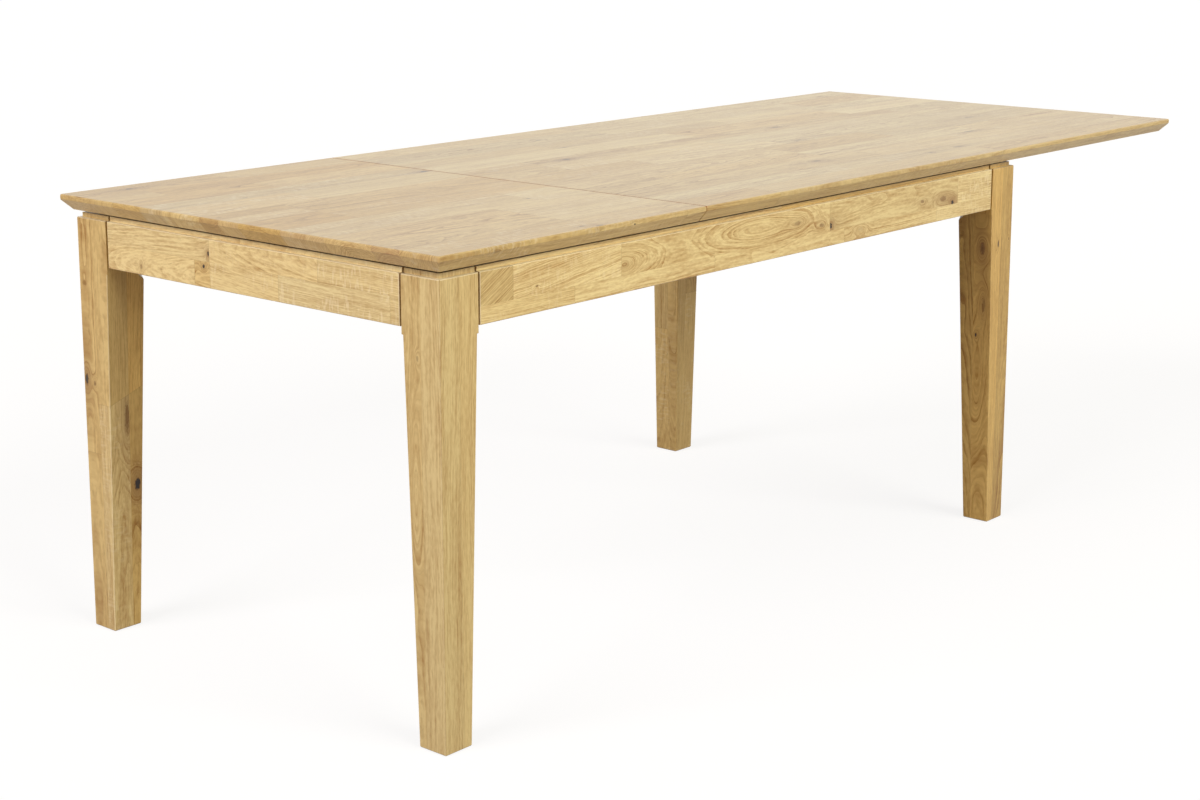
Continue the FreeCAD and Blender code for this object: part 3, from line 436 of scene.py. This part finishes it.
def staved(node, slot, grain, cuts=(), joints=None, knots=(), styles=None, lighter=1.0, warmer=0.0,
           spread=1.0, seam=None, painted_shading=None, floor_shade=0.0):
    """A wooden piece in the exact form of its CAD node, divided into the staves that it is glued from.

    cuts holds (axis, levels) pairs, joints the ends of the staves along the grain in each row, as places or
    (place, axis, slope, middle) for slanted ones, and styles what is special about single staves, by row
    and number. lighter, warmer and spread change the tint of all staves. The eased edges at the seam get
    dust and painted shade, painted_shading gives a polygon's painted highlight or shade, and floor_shade
    how much painted shade darkens the piece towards the floor."""
    joints, styles = joints or {}, styles or {}
    axes = "xyz" if node.startswith(("main", "leaf", "leg")) else "zyx"    # the others stand on edge
    across, through = [axis for axis in axes if axis != grain]
    mesh = bmesh.new()
    mesh.from_mesh(frame["nodes"][node].data)
    bmesh.ops.remove_doubles(mesh, verts=mesh.verts, dist=MERGE)
    for axis, levels in cuts:
        for level in levels:
            cut(mesh, mesh.faces, unit(axis) * level, unit(axis))

    def row_of(point):
        return tuple(bisect.bisect(levels, point[AXIS[axis]]) for axis, levels in cuts)

    def plane(joint):
        if isinstance(joint, float):
            return unit(grain) * joint, unit(grain)
        place, axis, slope, middle = joint
        return unit(grain) * place + unit(axis) * middle, unit(grain) - unit(axis) * slope

    for row, places in joints.items():
        for joint in places:
            chosen = [face for face in mesh.faces if row_of(face.calc_center_median()) == row]
            cut(mesh, chosen, *plane(joint))
    bmesh.ops.triangulate(mesh, faces=mesh.faces)
    data = bpy.data.meshes.new(node + "_staves")
    mesh.to_mesh(data)
    mesh.free()

    def stave_of(point):
        row = row_of(point)
        planes = [plane(joint) for joint in joints.get(row, ())]
        return row, sum((point - base).dot(normal) > 0 for base, normal in planes)

    def end_planes(key):
        """The joints at the low and the high end of a stave."""
        row, index = key
        planes = [plane(joint) for joint in joints.get(row, ())]
        return planes[max(index - 1, 0):index] + planes[index:index + 1]

    def side_planes(key):
        """The glue lines along a stave."""
        found = []
        for (axis, levels), index in zip(cuts, key[0]):
            found += [(unit(axis) * level, unit(axis)) for level in levels[max(index - 1, 0):index + 1]]
        return found

    members = {}
    for polygon in data.polygons:
        members.setdefault(stave_of(polygon.center), []).append(polygon)
    order = [AXIS[grain], AXIS[across], AXIS[through]]
    corner_values = {name: [0.0] * (3 * len(data.loops)) for name in ("wood", "ends", "sides")}
    face_names = ["pith", "tint", "figure", "face"]
    face_names += [kind + letter for kind in NO_KNOT for letter in KNOTS]
    face_values = {name: [0.0] * (3 * len(data.polygons)) for name in face_names}
    for key in sorted(members):
        style = stave_style(random.Random(f"{node} {key}"), spread)
        style.update(styles.get(key, {}))
        points = [data.vertices[index].co for polygon in members[key] for index in polygon.vertices]
        low = [min(point[axis] for point in points) for axis in range(3)]
        high = [max(point[axis] for point in points) for axis in range(3)]
        centre = Vector((a + b) / 2 for a, b in zip(low, high))
        tint = (style["tint"][0] * lighter, style["tint"][1] + warmer, style["tint"][2])
        turn = Matrix.Rotation(-style.get("slope", 0.0), 3, "Z")
        values = {"pith": style["pith"], "tint": tint, "figure": style["figure"]}
        planes = {"ends": end_planes(key), "sides": side_planes(key)}
        own = [knot for knot in knots if stave_of(knot.point) == key]
        values.update({kind + letter: value for kind, value in NO_KNOT.items() for letter in KNOTS})
        for letter, knot in zip(KNOTS, own):
            offset = knot.point - centre
            values["knot_" + letter] = turn @ Vector(offset[axis] for axis in order)
            values["knot_size_" + letter] = knot.size
        for polygon in members[key]:
            lean = abs(polygon.normal[AXIS[grain]])
            # the seam's eased edges get dust and painted shade
            at_seam = seam is not None and abs(polygon.center[AXIS[grain]] - seam) < SEAM_REACH
            eased = SEAM_LEAN[0] < lean < SEAM_LEAN[1] and polygon.normal.z > SEAM_LEAN[0]
            seam_dust_and_shade = 1.0 if at_seam and eased else 0.0
            end_grain = min(1.0, END_GRAIN * lean ** END_GRAIN_FALL) * style["thirst"]
            values["face"] = (end_grain, seam_dust_and_shade, painted_shading(polygon) if painted_shading else 0.0)
            for name in face_names:
                face_values[name][3 * polygon.index:3 * polygon.index + 3] = values[name]
            for loop in polygon.loop_indices:
                point = data.vertices[data.loops[loop].vertex_index].co
                offset = point - centre
                local = turn @ Vector(offset[axis] for axis in order)
                corner_values["wood"][3 * loop:3 * loop + 3] = local
                for name, around in planes.items():
                    gaps = [abs((point - base).dot(normal)) for base, normal in around]
                    corner_values[name][3 * loop:3 * loop + 3] = (gaps + [FAR] * 3)[:3]
                # painted shade: darker towards the floor, and darker still in the recess under the tops
                shade = 1.0 - floor_shade * max(0.0, 1.0 - point.z / FACE_TOP)
                if FACE_TOP + LEDGE < point.z < MAIN_LOW.z - LIP_END:
                    shade -= LIP_SHADOW
                corner_values["ends"][3 * loop + 2] = shade
    for domain, table in (("CORNER", corner_values), ("FACE", face_values)):
        for name, numbers in table.items():
            data.attributes.new(name, "FLOAT_VECTOR", domain).data.foreach_set("vector", numbers)
    steady_normals(data)
    data.materials.append(WOODS[slot])
    piece = bpy.data.objects.new(node + "_staves", data)
    bpy.context.scene.collection.objects.link(piece)
    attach(piece, frame["nodes"][node]["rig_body"])
    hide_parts(node)


def frame_painted_shading(lip=RECESS_PAINTED_SHADE, edge=1.0, near_corner=None):
    """Painted highlight and shade on the faces of a leg or an apron: eased edges and the ledge get a
    painted highlight, while the recess, what lies under the tops and edges that face down get painted
    shade.

    lip is the painted shade of the recess, edge the painted highlight of the eased edges, and near_corner
    the place of an outer corner whose front half gets painted shade."""
    def painted_shading(polygon):
        normal, centre = polygon.normal, polygon.center
        faces_up = normal.z > 0.5
        # painted shade under the tops and in the recess
        if centre.z > FACE_TOP + LEDGE:
            return HIDDEN_PAINTED_SHADE if faces_up else lip
        # painted highlight on the ledge, painted shade on the recess
        if centre.z > FACE_TOP - FACE_SLACK:
            return LEDGE_PAINTED_HIGHLIGHT if faces_up else lip
        if max(abs(part) for part in normal) > FLAT_TURN:
            return 0.0
        # painted shade on edges that face down
        if normal.z < -0.1:
            return DOWN_EDGE_PAINTED_SHADE
        # painted shade on the near corner's front half, painted highlight on the other eased edges
        at_corner = near_corner and (centre - near_corner).xy.length < NEAR_CORNER_REACH
        return NEAR_CORNER_PAINTED_SHADE if at_corner and normal.y < 0.5 * normal.x else edge
    return painted_shading


def underside_painted_shade(polygon):
    """The undersides of the tops get painted shade."""
    return UNDERSIDE_PAINTED_SHADE if polygon.normal.z < UNDERSIDE_TURN else 0.0


def rows_between(low, high, widths):
    """Levels that divide a span into rows of the given widths, over and over."""
    levels, level, index = [], low, 0
    while True:
        level += widths[index % len(widths)]
        index += 1
        if level > high - min(widths) / 2:
            return levels
        levels.append(level)


def random_joints(name, low, high, rows, shortest, longest):
    """Ends of staves of uneven lengths, other ones in each row."""
    made = {}
    for row in range(rows):
        chance = random.Random(f"{name} {row}")
        place = low + chance.uniform(0.15, 1.0) * longest
        made[(row,)] = []
        while place < high - shortest / 3:
            made[(row,)].append(place)
            place += chance.uniform(shortest, longest)
    return made


oak = wood(
    "oak",
    pale=srgb("f0dca4"),
    warm=srgb("eec777"),
    fleck=srgb("fae9be"),
    line=srgb("a67225"),
    pore=srgb("6e4516"),
    end=srgb("be8f66"),
    knot=srgb("8f6030"),
    knot_heart=srgb("2c2420"),
    rings=0.8,
)
beech = wood(
    "beech",
    pale=srgb("d9bd93"),
    warm=srgb("d2ac83"),
    fleck=srgb("e2caa6"),
    line=srgb("b08358"),
    pore=srgb("96693f"),
    end=srgb("a87c52"),
    knot=srgb("9c7448"),
    knot_heart=srgb("4b3a2c"),
    rings=0.15,
    roughness=0.6,
    coat=0.1,
)
WOODS = {"oak": oak, "beech": beech}

# ---------------------------------------------------------------- the tops
LEAF_ROWS = [-0.366, -0.308, -0.208, -0.111, -0.014, 0.034, 0.080, 0.172, 0.228, 0.299, 0.366]
MAIN_ROWS = rows_between(MAIN_LOW.y, MAIN_HIGH.y, (0.071, 0.058, 0.083, 0.066, 0.092, 0.075))
LEAF_KNOTS = [
    Knot((-0.994, 0.403, TOP_FACE), 0.022, 0.011, 0.9),
    Knot((-0.524, 0.180, TOP_FACE), 0.022, 0.013, 0.9),
    Knot((-0.630, -0.175, TOP_FACE), 0.020, 0.009, 0.5),
    Knot((-0.932, 0.178, TOP_FACE), 0.012, 0.006, 0.5),
    Knot((-0.782, -0.424, TOP_FACE), 0.018, 0.008, 0.6),
    Knot((-0.758, -0.438, TOP_FACE), 0.022, 0.009, 0.6),
    Knot((-0.846, -0.235, TOP_FACE), 0.016, 0.008, 0.3),
    Knot((-0.988, LEAF_LOW.y, 0.742), 0.020, 0.008, 0.4),
    Knot((-0.683, LEAF_LOW.y, 0.743), 0.005, 0.003, 1.0),
]
MAIN_KNOTS = [
    Knot((-0.236, 0.097, TOP_FACE), 0.030, 0.014, 0.8),
    Knot((-0.111, 0.213, TOP_FACE), 0.020, 0.010, 0.6),
    Knot((-0.061, 0.330, TOP_FACE), 0.018, 0.009, 0.6),
    Knot((0.423, 0.103, TOP_FACE), 0.026, 0.012, 0.65),
    Knot((0.280, -0.057, TOP_FACE), 0.024, 0.010, 0.6),
    Knot((0.050, -0.265, TOP_FACE), 0.024, 0.012, 0.7),
    Knot((0.628, -0.236, TOP_FACE), 0.045, 0.016, 0.6),
    Knot((0.847, -0.103, TOP_FACE), 0.045, 0.016, 0.35),
    Knot((0.402, -0.351, TOP_FACE), 0.045, 0.014, 0.4),
    Knot((0.292, -0.358, TOP_FACE), 0.020, 0.010, 0.5),
]
LEAF_JOINTS = random_joints("leaf", LEAF_LOW.x, LEAF_HIGH.x, len(LEAF_ROWS) + 1, 0.30, 0.62)
LEAF_JOINTS[(0,)] = [(-0.768, "z", 1.95, 0.740), -0.5528]
MAIN_JOINTS = random_joints("main", MAIN_LOW.x, MAIN_HIGH.x, len(MAIN_ROWS) + 1, 0.32, 0.72)
MAIN_JOINTS[(0,)] = [-0.3055, 0.4139]
LEAF_THIRST = (0.2, 0.5, 0.15, 0.35, 0.05, 0.2, 0.35, 0.0, 0.15, 0.0, 0.05, 0.1)
LEAF_STYLES = {((row,), 0): {"thirst": thirst} for row, thirst in enumerate(LEAF_THIRST)}
staved("leaf", "oak", "x", [("y", LEAF_ROWS)], LEAF_JOINTS, LEAF_KNOTS, LEAF_STYLES,
       lighter=0.815, warmer=0.05, spread=1.3, seam=SEAM, painted_shading=underside_painted_shade)
staved("main_top", "oak", "x", [("y", MAIN_ROWS)], MAIN_JOINTS, MAIN_KNOTS,
       lighter=0.82, warmer=-0.15, spread=1.1, seam=SEAM, painted_shading=underside_painted_shade)

# ---------------------------------------------------------------- the aprons
FRONT_KNOTS = [
    Knot((-0.230, FRONT_FACE, 0.686), 0.024, 0.010, 0.45),
    Knot((-0.160, FRONT_FACE, 0.674), 0.018, 0.009, 0.5),
    Knot((-0.132, FRONT_FACE, 0.669), 0.010, 0.014, 1.0),
    Knot((0.160, FRONT_FACE, 0.678), 0.016, 0.008, 0.55),
    Knot((0.232, FRONT_FACE, 0.675), 0.030, 0.014, 0.45),
    Knot((0.264, FRONT_FACE, 0.664), 0.012, 0.012, 1.0),
    Knot((-0.340, FRONT_FACE, 0.690), 0.150, 0.026, 0.0),
    Knot((-0.684, FRONT_FACE, 0.676), 0.026, 0.015, 0.1),
    Knot((-0.690, FRONT_FACE, 0.682), 0.085, 0.022, 0.0),
    Knot((-0.884, FRONT_FACE, 0.674), 0.008, 0.004, 0.7),
    Knot((-0.040, FRONT_FACE, 0.652), 0.020, 0.010, 0.2),
]
LEFT_KNOTS = [
    Knot((LEFT_FACE, 0.084, 0.689), 0.006, 0.011, 1.0),
    Knot((LEFT_FACE, 0.096, 0.668), 0.008, 0.008, 1.0),
    Knot((LEFT_FACE, 0.256, 0.648), 0.006, 0.010, 0.5),
]
FRONT_JOINTS = {
    (2,): [-0.267],
    (1,): [-0.935, -0.692, -0.134, 0.282],
    (0,): [-0.800, -0.458, -0.090, 0.210],
}
LEFT_JOINTS = {(1,): [-0.170, 0.082], (0,): [-0.325, -0.081, 0.081, 0.119]}
FRONT_ROWS = [("z", [0.661, FACE_TOP + 0.0005])]
LEFT_ROWS = [("z", [0.676])]
FRONT_STYLES = {
    ((1,), 0): {
        "pith": (0.09, 0.04, 0.0), "tint": (0.86, 0.4, 0.11), "figure": (0.8, 0.0, 0.003), "slope": 0.55,
    },
    ((1,), 1): {
        "pith": (0.10, 0.01, 0.02), "tint": (1.06, 0.15, 0.37), "figure": (0.6, 0.5, 0.008), "slope": 0.1,
    },
    ((1,), 2): {"pith": (0.0, 0.045, -0.01), "tint": (1.0, 0.25, 0.571), "figure": (0.9, 0.0, 0.0015)},
    ((1,), 3): {"pith": (0.012, 0.05, 0.03), "tint": (0.95, 0.25, 0.23), "figure": (0.7, 0.0, 0.004)},
    ((1,), 4): {"pith": (-0.09, 0.02, 0.02), "tint": (1.02, 0.15, 0.81), "figure": (0.3, 0.9, 0.003)},
    ((0,), 0): {"pith": (0.08, 0.02, 0.0), "tint": (0.99, 0.3, 0.32), "figure": (0.5, 0.3, 0.003)},
    ((0,), 1): {"pith": (0.02, 0.05, 0.02), "tint": (1.02, 0.2, 0.93), "figure": (0.7, 0.0, 0.003)},
    ((0,), 2): {"pith": (-0.01, 0.05, -0.02), "tint": (1.0, 0.25, 0.18), "figure": (0.8, 0.0, 0.003)},
    ((0,), 3): {"pith": (0.03, 0.05, 0.01), "tint": (0.99, 0.25, 0.54), "figure": (0.7, 0.1, 0.002)},
    ((0,), 4): {"pith": (0.09, 0.02, 0.0), "tint": (1.01, 0.2, 0.76), "figure": (0.4, 0.5, 0.003)},
    ((2,), 0): {"pith": (0.05, 0.02, 0.01), "tint": (1.0, 0.3, 0.29), "figure": (0.6, 0.0, 0.003)},
    ((2,), 1): {"pith": (0.06, 0.03, 0.0), "tint": (0.84, 0.75, 0.61), "figure": (0.6, 0.0, 0.003)},
}
LEFT_STYLES = {
    ((1,), 0): {"pith": (0.09, 0.01, 0.02), "tint": (0.96, 0.25, 0.45), "figure": (0.35, 0.9, 0.002)},
    ((1,), 1): {"pith": (0.01, 0.045, 0.10), "tint": (1.0, 0.3, 0.72), "figure": (0.5, 0.3, 0.003)},
    ((1,), 2): {"pith": (0.04, 0.05, -0.05), "tint": (0.98, 0.25, 0.33), "figure": (0.5, 0.1, 0.001)},
    ((0,), 0): {"pith": (0.08, 0.02, 0.02), "tint": (0.91, 0.3, 0.91), "figure": (0.4, 0.5, 0.002)},
    ((0,), 1): {"pith": (0.10, 0.0, 0.02), "tint": (0.95, 0.1, 0.14), "figure": (0.3, 1.0, 0.004)},
    ((0,), 2): {"pith": (0.07, 0.03, 0.15), "tint": (0.98, 0.3, 0.55), "figure": (0.5, 0.5, 0.003)},
    ((0,), 3): {"pith": (0.0, 0.04, 0.1), "tint": (0.95, 0.5, 0.65), "figure": (0.7, 0.0, 0.004)},
    ((0,), 4): {"pith": (-0.01, 0.05, 0.12), "tint": (1.0, 0.3, 0.27), "figure": (0.6, 0.0, 0.003)},
}
staved("apron_front", "oak", "x", FRONT_ROWS, FRONT_JOINTS, FRONT_KNOTS, FRONT_STYLES, painted_shading=frame_painted_shading())
staved("apron_left", "oak", "y", LEFT_ROWS, LEFT_JOINTS, LEFT_KNOTS, LEFT_STYLES, painted_shading=frame_painted_shading())
BACK_JOINTS = {(1,): [-0.80, -0.28, 0.11], (0,): [-0.55, -0.14, 0.24]}
RIGHT_JOINTS = {(1,): [-0.12, 0.19], (0,): [-0.22, 0.06]}
staved("apron_back", "oak", "x", FRONT_ROWS, BACK_JOINTS, painted_shading=frame_painted_shading())
staved("apron_right", "oak", "y", LEFT_ROWS, RIGHT_JOINTS, painted_shading=frame_painted_shading())

# ---------------------------------------------------------------- the legs
LEG_JOINTS = {
    "leg_front_left": {(1, 1): [0.33]},
    "leg_back_left": {
        (0, 0): [(0.412, "x", 0.38, -1.0475)],
        (1, 0): [(0.412, "x", 0.38, -1.0475)],
        (0, 1): [0.31],
    },
    "leg_front_right": {(1, 1): [0.44]},
    "leg_back_right": {(0, 1): [0.28], (1, 0): [0.36]},
}
LEG_KNOTS = {
    "leg_front_left": [
        Knot((LEFT_FACE, -0.3795, 0.592), 0.012, 0.006, 0.4),
        Knot((LEFT_FACE, -0.372, 0.400), 0.120, 0.012, 0.0),
    ],
    "leg_back_left": [
        Knot((LEFT_FACE, 0.418, 0.437), 0.026, 0.012, 0.9),
        Knot((LEFT_FACE, 0.396, 0.432), 0.012, 0.006, 0.7),
        Knot((-1.033, 0.3625, 0.252), 0.030, 0.016, 1.0),
        Knot((-1.052, 0.3587, 0.372), 0.070, 0.012, 0.6),
    ],
    "leg_front_right": [
        Knot((0.415, -0.400, 0.300), 0.150, 0.020, 0.0),
        Knot((0.4123, -0.406, 0.554), 0.030, 0.014, 0.7),
        Knot((0.4162, -0.410, 0.440), 0.040, 0.010, 0.45),
        Knot((0.4182, -0.394, 0.380), 0.010, 0.006, 1.0),
        Knot((0.437, -0.426, 0.562), 0.020, 0.006, 0.9),
        Knot((0.476, -0.426, 0.568), 0.008, 0.004, 0.6),
        Knot((0.414, -0.426, 0.539), 0.006, 0.003, 0.7),
    ],
}
LEG_STYLES = {
    "leg_front_left": {
        ((0, 0), 0): {"pith": (0.09, 0.08, 0.01), "tint": (0.96, 0.35, 0.31), "figure": (0.3, 0.0, 0.001)},
        ((0, 1), 0): {"pith": (0.05, 0.012, 0.02), "tint": (0.95, 0.45, 0.77), "figure": (0.7, 0.0, 0.004)},
        ((1, 0), 0): {"pith": (0.09, 0.02, 0.01), "tint": (0.99, 0.4, 0.15), "figure": (0.3, 0.0, 0.001)},
    },
    "leg_back_left": {
        ((0, 0), 0): {"pith": (0.01, 0.05, 0.0), "tint": (1.07, 0.3, 0.52), "figure": (0.8, 0.4, 0.006)},
        ((0, 0), 1): {"pith": (0.06, -0.02, 0.0), "tint": (0.99, 0.5, 0.36), "figure": (0.6, 0.0, 0.002)},
        ((0, 1), 0): {"pith": (0.05, 0.0, 0.0), "tint": (1.0, 0.5, 0.84), "figure": (0.6, 0.0, 0.003)},
        ((0, 1), 1): {"pith": (0.05, 0.01, 0.0), "tint": (1.02, 0.5, 0.12), "figure": (0.7, 0.0, 0.003)},
        ((1, 0), 0): {"pith": (0.0, 0.05, 0.0), "tint": (0.96, 0.7, 0.22), "figure": (0.9, 0.0, 0.004)},
        ((1, 0), 1): {"pith": (0.06, 0.03, 0.0), "tint": (1.18, 0.7, 0.66), "figure": (0.5, 0.0, 0.002)},
    },
    "leg_front_right": {
        ((0, 0), 0): {"pith": (0.04, 0.0, 0.0), "tint": (1.10, 0.6, 0.42), "figure": (1.0, 0.0, 0.004)},
        ((0, 1), 0): {"pith": (0.05, 0.01, 0.03), "tint": (0.98, 0.8, 0.73), "figure": (1.0, 0.0, 0.004)},
        ((1, 0), 0): {"pith": (0.02, 0.05, 0.02), "tint": (0.90, 0.9, 0.19), "figure": (0.9, 0.0, 0.004)},
    },
}
LEG_TONES = {               # lightness, warmth and the painted highlight of the eased edges
    "leg_front_left": (0.885, 0.0, 1.0),
    "leg_back_left": (0.855, 0.1, 0.6),
    "leg_back_right": (0.79, 0.2, 0.0),
    "leg_front_right": (0.82, 0.6, 0.2),
}
# painted shade in the recess of the legs
LEG_RECESS_PAINTED_SHADE = -0.14
LEG_SPREAD = 0.4            # a leg is glued from staves that match
# painted shade: how much darker a leg is towards the floor
LEG_FLOOR_SHADE = 0.16
for name, joints in LEG_JOINTS.items():
    low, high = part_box(name)
    middle = (low + high) / 2
    leg_cuts = [("x", [middle.x]), ("y", [middle.y])]
    lighter, warmer, edge = LEG_TONES[name]
    painted_shading = frame_painted_shading(LEG_RECESS_PAINTED_SHADE, edge, low if name == "leg_front_left" else None)
    staved(name, "oak", "z", leg_cuts, joints, LEG_KNOTS.get(name, ()), LEG_STYLES.get(name),
           lighter, warmer, LEG_SPREAD, painted_shading=painted_shading, floor_shade=LEG_FLOOR_SHADE)

# ---------------------------------------------------------------- parts under the top
for name in ("guide_rail_front", "guide_rail_back", "runner_front", "runner_back"):
    staved(name, "beech", "x")
for name in ("cross_rail_left", "cross_rail_right", "batten_left", "batten_middle", "batten_right"):
    staved(name, "beech", "y")
staved("leaf_dowels", "beech", "x")


# ---------------------------------------------------------------- metal, nylon and rubber
MOTTLE_SCALE = 90.0
PIT_SCALE = 2600.0
PIT_DEPTH = 0.00005


def metal(name, dark, light, blotch_scale, smoothest, roughest):
    """A metal with faint blotches that are darker and smoother than the rest."""
    g = Graph(name)
    place = g.node("TexCoord").outputs["Object"]
    blotch = g.noise(place, scale=blotch_scale, detail=3.0).outputs["Fac"]
    tone = g.mix(blotch, dark, light)
    roughness = g.smooth(blotch, 0.2, 0.8, smoothest, roughest)
    return g.surface(Base_Color=tone, Roughness=roughness, Metallic=1.0)


def moulded(name, dark, light, roughness):
    """A moulded plastic or rubber with a faint mottle and a fine pitted skin."""
    g = Graph(name)
    place = g.node("TexCoord").outputs["Object"]
    mottle = g.noise(place, scale=MOTTLE_SCALE, detail=3.0).outputs["Fac"]
    pits = g.noise(place, scale=PIT_SCALE, detail=2.0).outputs["Fac"]
    return g.surface(
        Base_Color=g.mix(mottle, dark, light),
        Roughness=roughness,
        Normal=g.bump(pits, PIT_DEPTH, 0.5),
    )


FINISHES = {
    "zinc_steel": metal("zinc", srgb("9fa5aa"), srgb("c3c8cb"), 160.0, 0.26, 0.42),
    "brass": metal("brass", srgb("b08a3e"), srgb("d7b767"), 220.0, 0.22, 0.38),
    "nylon": moulded("nylon", srgb("463019"), srgb("543b20"), 0.5),
    "rubber": moulded("rubber", srgb("2a2a2b"), srgb("383839"), 0.75),
}


def finish_of(name):
    """The finish of a node that keeps its CAD form."""
    if "buffer" in name:
        return "rubber"
    if "glide" in name or "pad" in name:
        return "nylon"
    return "brass" if "sleeve" in name else "zinc_steel"


for name, piece in frame["nodes"].items():
    if not piece.hide_render:
        piece.data.materials.clear()
        piece.data.materials.append(FINISHES[finish_of(name)])

# ---------------------------------------------------------------- floor, light and camera
WHITE = (1.0, 1.0, 1.0, 1.0)
AMBIENT = (0.28, 0.24, 0.185, 1.0)     # light from all round, as a share of white
SUNS = {                    # toward each lamp, and its colour
    "left_light": ((-0.90, 0.12, 0.42), (1.0, 0.97, 1.03)),
    "front_light": ((0.04, -0.91, 0.42), (1.0, 1.0, 0.95)),
}
SUN_STRENGTH = 2.12
SUN_SOFTNESS = 40.0         # degrees
FLOOR_SIZE = 80.0
FLOOR_SHARE = 0.22          # how much of the floor that the camera sees is its own shading
FLOOR_BOUNCE = (0.42, 0.37, 0.29, 1.0)
FLOOR_LIGHT = 0.75          # what falls on the open floor, as a share of white
FLOOR_IN_GLOSS = 0.6        # how bright the floor is in a gloss
CAMERA_PLACE = (-3.1482, -2.5189, 1.2759)
CAMERA_YAW = 48.977         # degrees to the right of straight across the table
CAMERA_PITCH = 10.894       # degrees down
CAMERA_LENS = 63.885
CAMERA_RISE = -0.1          # the picture is the lower part of a taller one
CAMERA_REACH = 200.0


def floor():
    """A pale floor that keeps a soft shadow. In a gloss it is dimmer than what the camera sees."""
    g = Graph("floor")
    path = g.node("LightPath").outputs
    in_gloss = g.math("MULTIPLY", path["Is Glossy Ray"], FLOOR_IN_GLOSS)
    seen = g.math("MAXIMUM", path["Is Camera Ray"], in_gloss)
    lit = g.node("BsdfDiffuse", {"Color": FLOOR_BOUNCE}).outputs[0]
    glow_strength = 1.0 - FLOOR_SHARE * FLOOR_LIGHT
    glow = g.node("Emission", {"Color": WHITE, "Strength": glow_strength}).outputs[0]
    own = g.node("BsdfDiffuse", {"Color": (FLOOR_SHARE,) * 3 + (1.0,)}).outputs[0]
    shown = g.node("AddShader", {0: own, 1: glow}).outputs[0]
    both = g.node("MixShader", {0: seen, 1: lit, 2: shown}).outputs[0]
    g.node("OutputMaterial", {"Surface": both})
    mesh = bpy.data.meshes.new("floor")
    half = FLOOR_SIZE / 2
    corners = [(-half, -half, 0), (half, -half, 0), (half, half, 0), (-half, half, 0)]
    mesh.from_pydata(corners, [], [(0, 1, 2, 3)])
    mesh.materials.append(g.material)
    piece = bpy.data.objects.new("floor", mesh)
    bpy.context.scene.collection.objects.link(piece)
    piece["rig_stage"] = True


def sky():
    """A white sky whose light on the table is dim and warm, like light thrown back by a room."""
    world = bpy.data.worlds.new("sky")
    world.use_nodes = True
    bpy.context.scene.world = world
    nodes, links = world.node_tree.nodes, world.node_tree.links
    nodes.clear()
    path = nodes.new("ShaderNodeLightPath")
    seen = nodes.new("ShaderNodeMath")
    seen.operation = "MAXIMUM"
    links.new(path.outputs["Is Camera Ray"], seen.inputs[0])
    links.new(path.outputs["Is Glossy Ray"], seen.inputs[1])
    colour = nodes.new("ShaderNodeMix")
    colour.data_type = "RGBA"
    links.new(seen.outputs[0], colour.inputs[0])
    colour.inputs[6].default_value = AMBIENT
    colour.inputs[7].default_value = WHITE
    back = nodes.new("ShaderNodeBackground")
    links.new(colour.outputs[2], back.inputs["Color"])
    out = nodes.new("ShaderNodeOutputWorld")
    links.new(back.outputs[0], out.inputs["Surface"])


def sun(name, toward, colour):
    """A soft lamp: toward points from the table to it. It lights the table but shows in no gloss."""
    lamp = bpy.data.lights.new(name, "SUN")
    lamp.energy = SUN_STRENGTH
    lamp.color = colour
    lamp.angle = math.radians(SUN_SOFTNESS)
    piece = bpy.data.objects.new(name, lamp)
    piece.visible_glossy = False
    piece.rotation_mode = "QUATERNION"
    piece.rotation_quaternion = Vector(toward).to_track_quat("Z", "Y")
    bpy.context.scene.collection.objects.link(piece)


def camera():
    data = bpy.data.cameras.new("camera")
    data.lens = CAMERA_LENS
    data.shift_y = CAMERA_RISE
    data.clip_end = CAMERA_REACH
    piece = bpy.data.objects.new("camera", data)
    piece.location = CAMERA_PLACE
    piece.rotation_euler = (math.radians(90 - CAMERA_PITCH), 0, math.radians(-CAMERA_YAW))
    bpy.context.scene.collection.objects.link(piece)
    bpy.context.scene.camera = piece


floor()
sky()
for name, (toward, colour) in SUNS.items():
    sun(name, toward, colour)
camera()
bpy.context.scene.view_settings.view_transform = "Standard"

low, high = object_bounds()
